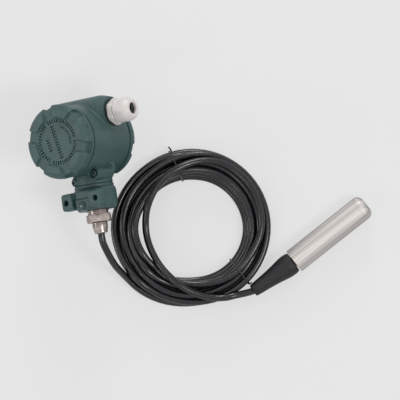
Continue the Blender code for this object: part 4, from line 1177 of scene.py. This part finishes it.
@dataclass
class SteelGland:
    """The stainless gland under the base, where the cable leaves."""

    top: float = -75.3
    collar: float = 11.75
    collar_height: float = 4.7
    corner: float = 14.5
    hex_height: float = 8.0
    nose: float = 5.7
    nose_length: float = 5.0
    nut: float = 8.3
    nut_length: float = 12.0
    nut_end: float = 5.9
    bore: float = 4.05

    def build(self, palette: Palette) -> None:
        """Make the collar, the hex body and the compression nut."""
        low = self.top - self.collar_height
        side, top = self.collar, self.top
        outline = [
            (side - 0.5, top), (side, top - 0.5), (side, top - 1.6), (side - 0.9, top - 2.1),
            (side - 0.9, low + 1.2), (side - 0.2, low + 0.6), (side - 0.2, low), (9.7, low),
            (9.7, top),
        ]
        collar = Piece("steel_collar_ring", lathe(outline, closed=True))
        collar.finish(HOUSING, palette.turned, "steel_collar", angle=30.0)
        top = low - GAP
        low = top - self.hex_height
        body = Piece("steel_hex", prism(6, self.corner, low, top, math.radians(30)))
        side = self.corner + 0.3
        body.change(Cut.KEEP, lathe([
            (0, top), (self.corner - 1.3, top), (side, top - 1.1), (side, low + 1.1),
            (self.corner - 1.3, low), (0, low),
        ]))
        body.soften(0.18, 30.0)
        end = low - self.nose_length
        body.change(Cut.JOIN, prism(64, 9.4, top - 1, -66), prism(64, self.nose, end, low + 1))
        body.change(Cut.REMOVE, prism(48, self.bore, end - 1, -60))
        body.finish(HOUSING, palette.milled, "steel_gland_body", angle=30.0)
        top = low - GAP
        low = top - self.nut_length
        inner = self.nose + GAP
        seat = top - self.nose_length - 3.7
        side, end = self.nut, self.nut_end
        outline = [
            (side - 0.6, top), (side, top - 0.6), (side, low + 7.0), (end + 1.1, low + 1.0),
            (end + 0.1, low), (self.bore, low), (self.bore, seat), (inner, seat), (inner, top),
        ]
        nut = Piece("steel_compression_nut", lathe(outline, closed=True))
        corner = (self.nut - 0.12) / math.cos(math.pi / 12)
        nut.change(Cut.KEEP, prism(12, corner, low - 1, top + 1))
        nut.finish(HOUSING, palette.turned, "steel_gland_nut", angle=30.0)


# ---- cable


@dataclass
class Cable:
    """The cable from the gland through its coil into the boot, with its two ties."""

    radius: float = 3.75
    centre: tuple = (-7.959, -47.316, 0.0)
    start: float = 221.0
    step: float = 5.0
    wound: float = 4042.0
    turns: int = 12
    tie_radius: float = 0.85
    tie_angles: tuple = (104.4, 317.1)
    tie_rise: float = 1.7
    tie_spread: float = 9.0
    sag: float = 0.985
    slip: float = 0.94
    length: float = 5.0
    root: float = -92.6
    exit: float = -100.6
    inner: tuple = (57.6, 56.0, 54.3, 57.0, 61.0, 59.0, 57.0, 57.2)
    outer: tuple = (80.4, 80.4, 80.4, 81.0, 83.6, 81.6, 79.6, 79.8)
    lanes: tuple = (1.0, 0.667, 0.333, 0.0, 0.167, 0.5, 0.833, 1.0, 0.64, 0.3)
    jogs: tuple = (20, 20, 20, -40, -40, -40, -120, -120, -130)

    def keyed(self, keys: Sequence[Point], values: np.ndarray) -> np.ndarray:
        """Return smooth values between keys, as monotone steps.

        Args:
            keys: Pairs of place and value.
            values: The places that are asked for.

        Returns:
            The values there.
        """
        places, levels = np.array(keys).T
        index = np.clip(np.searchsorted(places, values, side="right") - 1, 0, len(keys) - 2)
        span = places[index + 1] - places[index]
        share = np.clip((values - places[index]) / span, 0, 1)
        share = share * share * (3 - 2 * share)
        return levels[index] * (1 - share) + levels[index + 1] * share

    def radii(self, travel: np.ndarray) -> np.ndarray:
        """Return how far the cable lies from the coil's middle, in millimetres.

        Args:
            travel: Degrees that the cable has wound since the lead joins the coil.

        Returns:
            The radii.
        """
        angle = self.start + travel
        inner, outer = (
            np.interp(angle % 360, range(0, 361, 45), [*levels, levels[0]])
            for levels in (self.inner, self.outer)
        )
        keys = [(-1.0, self.lanes[0])]
        for turn, jog in enumerate(self.jogs):
            middle = 360 * (turn + 1) + jog
            keys += [(middle - 32, self.lanes[turn]), (middle + 32, self.lanes[turn + 1])]
        keys += [
            (3470.0, 0.3), (3540.0, 0.02), (3600.0, 0.0), (3650.0, 0.18),
            (3700.0, 0.45), (3750.0, 0.72), (3790.0, 0.85), (5000.0, 0.85),
        ]
        lane = self.keyed(keys, travel)
        radius = inner + (outer - inner) * lane
        phase = np.floor(travel / 360)
        sway = 0.35 + 0.9 * np.clip((travel - 2300) / 600, 0, 1)
        radius += sway * np.sin(np.radians(travel * 2.13 + 40 * phase)) * 0.6
        radius += sway * np.sin(np.radians(travel * 3.37)) * 0.4
        last = [
            (3770.0, 75.6), (3803.9, 76.4), (3819.7, 72.8), (3834.8, 67.8), (3853.0, 62.2),
            (3872.0, 57.3), (3886.7, 54.1), (3908.5, 50.8), (3921.8, 49.9), (3938.2, 49.8),
            (3954.3, 50.8), (3972.0, 54.2), (3986.2, 58.4), (4000.9, 65.0), (4011.0, 70.2),
            (4024.5, 77.9), (4035.2, 83.6), (4042.0, 87.8),
        ]
        final = np.interp(travel, *np.array(last).T)
        share = np.clip((travel - 3770) / 25, 0, 1)
        radius = radius * (1 - share) + final * share
        lead = np.interp(travel, [0, 12, 24, 36, 50, 62], [88.4, 87.0, 85.0, 82.8, 80.6, 79.7])
        share = np.clip((travel - 45) / 17, 0, 1)
        return np.where(travel < 62, lead * (1 - share) + radius * share, radius)

    def floor(self, angle: np.ndarray) -> np.ndarray:
        """Return the lowest height of the cable's axis, which rises over the ties."""
        level = np.full(angle.shape, self.radius)
        for tie in self.tie_angles:
            away = (angle - tie + 180) % 360 - 180
            level += self.tie_rise * np.exp(-((away / self.tie_spread) ** 2))
        return level

    def heights(self, travel: np.ndarray, radius: np.ndarray) -> np.ndarray:
        """Return how high each point of the cable comes to lie on what was wound before it."""
        turn = round(360 / self.step)
        reach = 2 * self.radius * self.sag
        base = self.floor(self.start + travel)
        lead = np.interp(travel, [0, 10, 20, 32, 45], [14.0, 10.2, 7.0, 4.6, self.radius])
        places = [3880, 3900, 3921, 3950, 3972, 3990]
        tail = np.interp(travel, places, [23.0, 19.5, 17.0, 18.0, 21.5, 23.5])
        wanted = np.where(travel < 45, np.maximum(lead, base), base)
        wanted = np.where((travel > 3880) & (travel < 4000), tail, wanted)
        height = wanted.copy()
        for sweep in range(4):
            for index in range(len(travel)):
                low = wanted[index]
                for before in range(index - turn, -1, -turn):
                    near = abs(radius[before] - radius[index])
                    if near < self.slip * reach:
                        low = max(low, height[before] + math.sqrt(reach * reach - near * near))
                height[index] = max(low, height[index]) if sweep else low
            if sweep < 3:
                height = self.smooth(height, 4)
        return self.smooth(height, 2)

    @staticmethod
    def smooth(values: np.ndarray, width: int) -> np.ndarray:
        """Return values averaged over their neighbours on each side."""
        padded = np.concatenate([np.full(width, values[0]), values, np.full(width, values[-1])])
        weights = np.hanning(2 * width + 3)[1:-1]
        return np.convolve(padded, weights / weights.sum(), "valid")

    def coil(self) -> tuple[list[Vector], np.ndarray, np.ndarray, np.ndarray]:
        """Return the coil's points in the row frame, and its travel, radii and heights."""
        travel = np.arange(0.0, self.wound, self.step)
        radius = self.smooth(self.radii(travel), 2)
        height = self.heights(travel, radius)
        angle = np.radians(self.start + travel)
        points = [self.spot(r, a, z) for r, a, z in zip(radius, angle, height)]
        return points, travel, radius, height

    def spot(self, radius: float, turn: float, height: float) -> Vector:
        """Return the point at a radius, an angle in radians and a height on the coil."""
        away = Vector((radius * math.cos(turn), radius * math.sin(turn), height))
        return (Vector(self.centre) + away) * MM

    def route(self) -> list[Vector]:
        """Return the whole cable's points, from inside the gland to inside the boot."""
        root, leave = (HOUSING @ Vector((0, 0, depth * MM)) for depth in (self.root, self.exit))
        lead = [
            (-103.8, -44.9, 57.0), (-97.9, -57.8, 50.0), (-91.0, -69.6, 39.0), (-83.5, -78.1, 27.0),
        ]
        knots = [root, leave, *[Vector(p) * MM + TABLE for p in lead]]
        points, *_ = self.coil()
        enter, end = (BOOT @ Vector((0, 0, depth * MM)) for depth in (-53.4, -39.4))
        way = self.curved([*knots, points[0], points[1]])
        close = self.curved([points[-2], points[-1], enter, end])
        return [*way[:-1], *points[1:-2], *close]

    @staticmethod
    def curved(knots: list[Vector], spacing: float = 5 * MM) -> list[Vector]:
        """Return close points on a smooth curve through some knots."""
        ends = [2 * knots[0] - knots[1], *knots, 2 * knots[-1] - knots[-2]]
        route = []
        for before, start, end, after in zip(ends, ends[1:], ends[2:], ends[3:]):
            steps = max(1, round((end - start).length / spacing))
            for step in range(steps):
                t = step / steps
                route.append(
                    start * (2 * t**3 - 3 * t**2 + 1)
                    + (end - before) / 2 * (t**3 - 2 * t**2 + t)
                    + end * (3 * t**2 - 2 * t**3)
                    + (after - start) / 2 * (t**3 - t**2)
                )
        route.append(knots[-1])
        return route

    def line(self, name: str, runs: Sequence[tuple], radius: float, sides: int) -> bpy.types.Object:
        """Make a curve object.

        Args:
            name: The piece's name.
            runs: Pairs of points and whether they close on themselves.
            radius: Half of its thickness.
            sides: Resolution of its round section.

        Returns:
            The object.
        """
        curve = bpy.data.curves.new(name, "CURVE")
        curve.dimensions = "3D"
        curve.bevel_depth = radius * MM
        curve.bevel_resolution = sides
        curve.use_fill_caps = True
        for points, cyclic in runs:
            spline = curve.splines.new("POLY")
            spline.points.add(len(points) - 1)
            for point, spot in zip(spline.points, points):
                point.co = (*spot, 1.0)
            spline.use_cyclic_u = cyclic
            spline.use_smooth = True
        item = bpy.data.objects.new(name, curve)
        bpy.context.scene.collection.objects.link(item)
        return item

    def section(self, angle: float, skip: float) -> list[Point]:
        """Return where the cable's strands cross one direction from the coil's middle.

        Args:
            angle: The direction, in degrees.
            skip: Travel beyond which strands are left out, such as the last one on top.

        Returns:
            Pairs of radius and height, in millimetres.
        """
        _, travel, radius, height = self.coil()
        found = []
        for turn in range(self.turns):
            spot = angle - self.start + 360 * turn
            if 0 <= spot <= min(skip, travel[-1]):
                found.append(tuple(float(np.interp(spot, travel, row)) for row in (radius, height)))
        return found

    def tie(
        self, name: str, node: str, angle: float, skew: float, skip: float,
        end: Sequence[tuple], palette: Palette,
    ) -> bpy.types.Object:
        """Make one wire tie round the strands, with its twisted end.

        Args:
            name: The piece's name.
            node: The CAD node that it stands for.
            angle: Where it sits on the coil, in degrees.
            skew: How far its outer side is turned on, in degrees.
            skip: Travel beyond which strands pass over it.
            end: Path of its twisted end, as points in the row frame.
            palette: The finishes.

        Returns:
            The tie.
        """
        strands = self.section(angle, skip)
        middle = sum(r for r, _ in strands) / len(strands)
        gap = self.radius + self.tie_radius
        loop = []
        for step in range(0, 360, 6):
            way = math.radians(step)
            across, up = math.cos(way), math.sin(way)
            r, z = max(strands, key=lambda spot: spot[0] * across + spot[1] * up)
            r, z = r + gap * across, max(z + gap * up, self.tie_radius)
            turn = math.radians(angle + skew * (r - middle) / 17)
            loop.append(self.spot(r, turn, z))
        twist = self.curved([Vector(point) * MM for point in end], 1.5 * MM)
        item = self.line(name, [(loop, True), (twist, False)], self.tie_radius, 3)
        dress(item, palette.mould, Body.MAIN, node)
        return item

    def boot(self, palette: Palette) -> bpy.types.Object:
        """Make the tapered rubber boot between the cable and the probe."""
        outline = [
            (10.4, 0.0), (11.3, -0.6), (11.9, -2.2), (12.2, -5.0), (12.3, -8.0), (12.0, -12.0),
            (11.2, -17.0), (10.3, -22.0), (9.4, -28.0), (8.7, -34.0), (8.1, -40.0), (7.6, -46.0),
            (7.1, -50.5), (6.8, -52.2), (6.2, -53.2), (5.6, -53.4),
            (4.35, -53.4), (4.35, -5.5), (6.5, -5.5), (6.5, 0.0),
        ]
        form = lathe(outline, 72, closed=True)
        return Piece("strain_boot", form).finish(BOOT, palette.rubber, "cable_boot", angle=45.0)

    def build(self, palette: Palette) -> None:
        route = self.route()
        cable = self.line("cable", [(route, False)], self.radius, 6)
        dress(cable, palette.jacket, Body.MAIN, "cable_lead", "cable_coil", "cable_tail")
        measured = sum((b - a).length for a, b in zip(route, route[1:]))
        LOG.info("cable: %d points, %.3f m", len(route), measured)
        boot = self.boot(palette)
        above, below = self.tie_angles
        end = [(-30.7, 33.6, 11.0), (-31.6, 36.5, 14.0), (-33.8, 38.8, 17.0)]
        upper = self.tie("upper_wire_tie", "upper_tie", above, 2.6, 3800.0, end, palette)
        end = [(52.2, -106.6, 9.0), (53.6, -107.6, 14.0), (55.0, -106.4, 19.0)]
        lower = self.tie("lower_wire_tie", "lower_tie", below, -2.6, 4000.0, end, palette)


@dataclass
class Probe:
    """The stainless probe tube with its rounded nose."""

    radius: float = 13.5
    wall: float = 1.5
    length: float = 89.0
    nose: float = 9.65
    rounding: float = 7.6
    inlet: float = 2.5
    step: float = 0.35

    def build(self, palette: Palette) -> None:
        """Make the tube and the nose."""
        inner = self.radius - self.wall
        outline = [
            (self.radius - self.step * (1 - math.sin(a)), self.step * (1 - math.cos(a)))
            for a in quarter(6)
        ]
        outline += [
            (self.radius, self.length - 0.06), (self.radius - 0.06, self.length),
            (inner, self.length), (inner, 0.0),
        ]
        tube = Piece("probe_barrel", lathe(outline, 128, closed=True))
        tube.finish(PROBE, palette.brushed, "probe_tube", angle=40.0)
        seam = self.length + 0.05
        tip = seam + self.nose
        middle = self.radius - self.rounding
        face = tip - self.step
        outline = [
            (self.inlet - 0.4, tip - 1.5), (self.inlet, tip - 0.6), (self.inlet + 0.4, face),
            (middle, face), (middle + 0.15, tip),
        ]
        outline += [
            (middle + self.rounding * math.sin(a), tip - self.rounding * (1 - math.cos(a)))
            for a in quarter(16)[1:]
        ]
        fit = inner - GAP
        outline += [
            (self.radius, seam + 0.06), (self.radius - 0.06, seam), (fit, seam), (fit, seam - 6),
            (self.inlet - 0.4, seam - 6),
        ]
        nose = Piece("probe_nose", lathe(outline, 128, closed=True))
        nose.finish(PROBE, palette.brushed, "probe_nose_cap", angle=40.0)


# ---- inner


class InnerParts:
    """CAD nodes whose shape is right, which only get their finish."""

    FINISHES = {
        "rubber": ("front_oring", "rear_oring", "base_oring", "steel_gland_seal", "sensor_oring"),
        "laminate": ("electronics_board",),
        "mould": ("electronics_module", "zero_trimmer", "span_trimmer", "terminal_block"),
        "zinc": (
            "board_screw_left", "board_screw_right", "terminal_screw_1", "terminal_screw_2",
            "terminal_screw_3", "inner_ground_screw",
        ),
        "brushed": ("probe_bush", "sensor_cell"),
    }

    def dress(self, palette: Palette) -> None:
        """Give each node its material."""
        for finish, names in self.FINISHES.items():
            coat = getattr(palette, finish)
            for name in names:
                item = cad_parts[name]
                item.data.materials.clear()
                item.data.materials.append(coat.material)
                LOG.info("%s: %s", name, finish)


# ---- stage


@dataclass
class Stage:
    """The pale table, the soft light and the camera straight above."""

    distance: float = 12.0
    level: float = 0.03
    sensor: float = 36.0
    table: float = 40.0
    drop: float = 0.0002
    backdrop: tuple = srgb(231, 231, 231)
    shadow: float = 0.28
    surround: float = 0.45
    lamps: tuple = (
        ("back", (0.0, 4.64, 1.87), 1.4, 0.13),
        ("right_high", (2.5, -1.0, 4.2), 1.4, 0.27),
        ("left_high", (-1.55, 1.55, 4.49), 1.4, 0.06),
        ("left_low", (-4.64, 0.0, 1.87), 1.0, 0.04),
        ("front_left", (-2.63, -2.63, 3.35), 1.0, 0.05),
    )

    def camera(self) -> None:
        """Set the camera."""
        data = bpy.data.cameras.new("camera")
        data.sensor_width = self.sensor
        data.lens = self.sensor * self.distance / (PHOTO_SIDE * PIXEL)
        data.clip_start, data.clip_end = 0.1, 100.0
        item = bpy.data.objects.new("camera", data)
        bpy.context.scene.collection.objects.link(item)
        item.location = TABLE + Vector((0, 0, self.level + self.distance))
        bpy.context.scene.camera = item

    def floor(self) -> None:
        """Lay the pale table, which shows the object's shadow faintly."""
        form = bmesh.new()
        bmesh.ops.create_grid(form, x_segments=1, y_segments=1, size=self.table)
        mesh = bpy.data.meshes.new("table")
        form.to_mesh(mesh)
        form.free()
        item = bpy.data.objects.new("table", mesh)
        item.location = (0, 0, -self.drop)
        bpy.context.scene.collection.objects.link(item)
        tree = Finish("table_top", "", 0.9)
        tree.set(Base_Color=self.backdrop)
        tree.set_plain({"Specular IOR Level": 0.0})
        glow = tree.node("ShaderNodeEmission", {}, {"Color": self.backdrop})
        matt = Wire(tree, tree.shader.outputs[0])
        part = tree.seen() * (1 - self.shadow)
        mixed = tree.node("ShaderNodeMixShader", {}, {0: part, 1: matt, 2: glow})
        tree.join(mixed, tree.nodes["Material Output"].inputs["Surface"])
        mesh.materials.append(tree.material)

    def lamp(self, name: str, place: Sequence[float], size: float, level: float) -> None:
        """Hang one soft square lamp that faces the middle of the table.

        Args:
            name: The lamp's name.
            place: Where it hangs.
            size: Its side.
            level: The share of a plain level of light that it gives the table.
        """
        data = bpy.data.lights.new(name, "AREA")
        data.shape = "SQUARE"
        data.size = size
        away = Vector(place)
        data.energy = level * math.pi**2 * away.length**3 / away.z
        item = bpy.data.objects.new(name, data)
        item.location = place
        item.rotation_euler = (-away).to_track_quat("-Z", "Y").to_euler()
        bpy.context.scene.collection.objects.link(item)

    def world(self) -> None:
        """Set the plain surroundings: pale to the eye and to gloss, softer as light."""
        world = bpy.data.worlds.new("studio")
        bpy.context.scene.world = world
        tree = Tree(world)
        light = {"Color": (1, 1, 1, 1), "Strength": self.surround}
        soft = tree.node("ShaderNodeBackground", {}, light)
        pale = tree.node("ShaderNodeBackground", {}, {"Color": self.backdrop})
        mixed = tree.node("ShaderNodeMixShader", {}, {0: tree.seen(), 1: soft, 2: pale})
        tree.join(mixed, tree.nodes["World Output"].inputs["Surface"])

    def build(self) -> None:
        """Set the whole stage."""
        self.camera()
        self.floor()
        self.world()
        for lamp in self.lamps:
            self.lamp(*lamp)
        bpy.context.scene.view_settings.view_transform = "Standard"


def main() -> None:
    """Build every piece in order and report it."""
    logging.basicConfig(level=logging.INFO, format="%(name)s: %(message)s")
    Stage().build()
    palette = Palette()
    Cable().build(palette)
    Housing().build(palette)
    Base().build(palette)
    PlasticGland().build(palette)
    SteelGland().build(palette)
    Probe().build(palette)
    InnerParts().dress(palette)


if __name__ == "__main__":
    main()
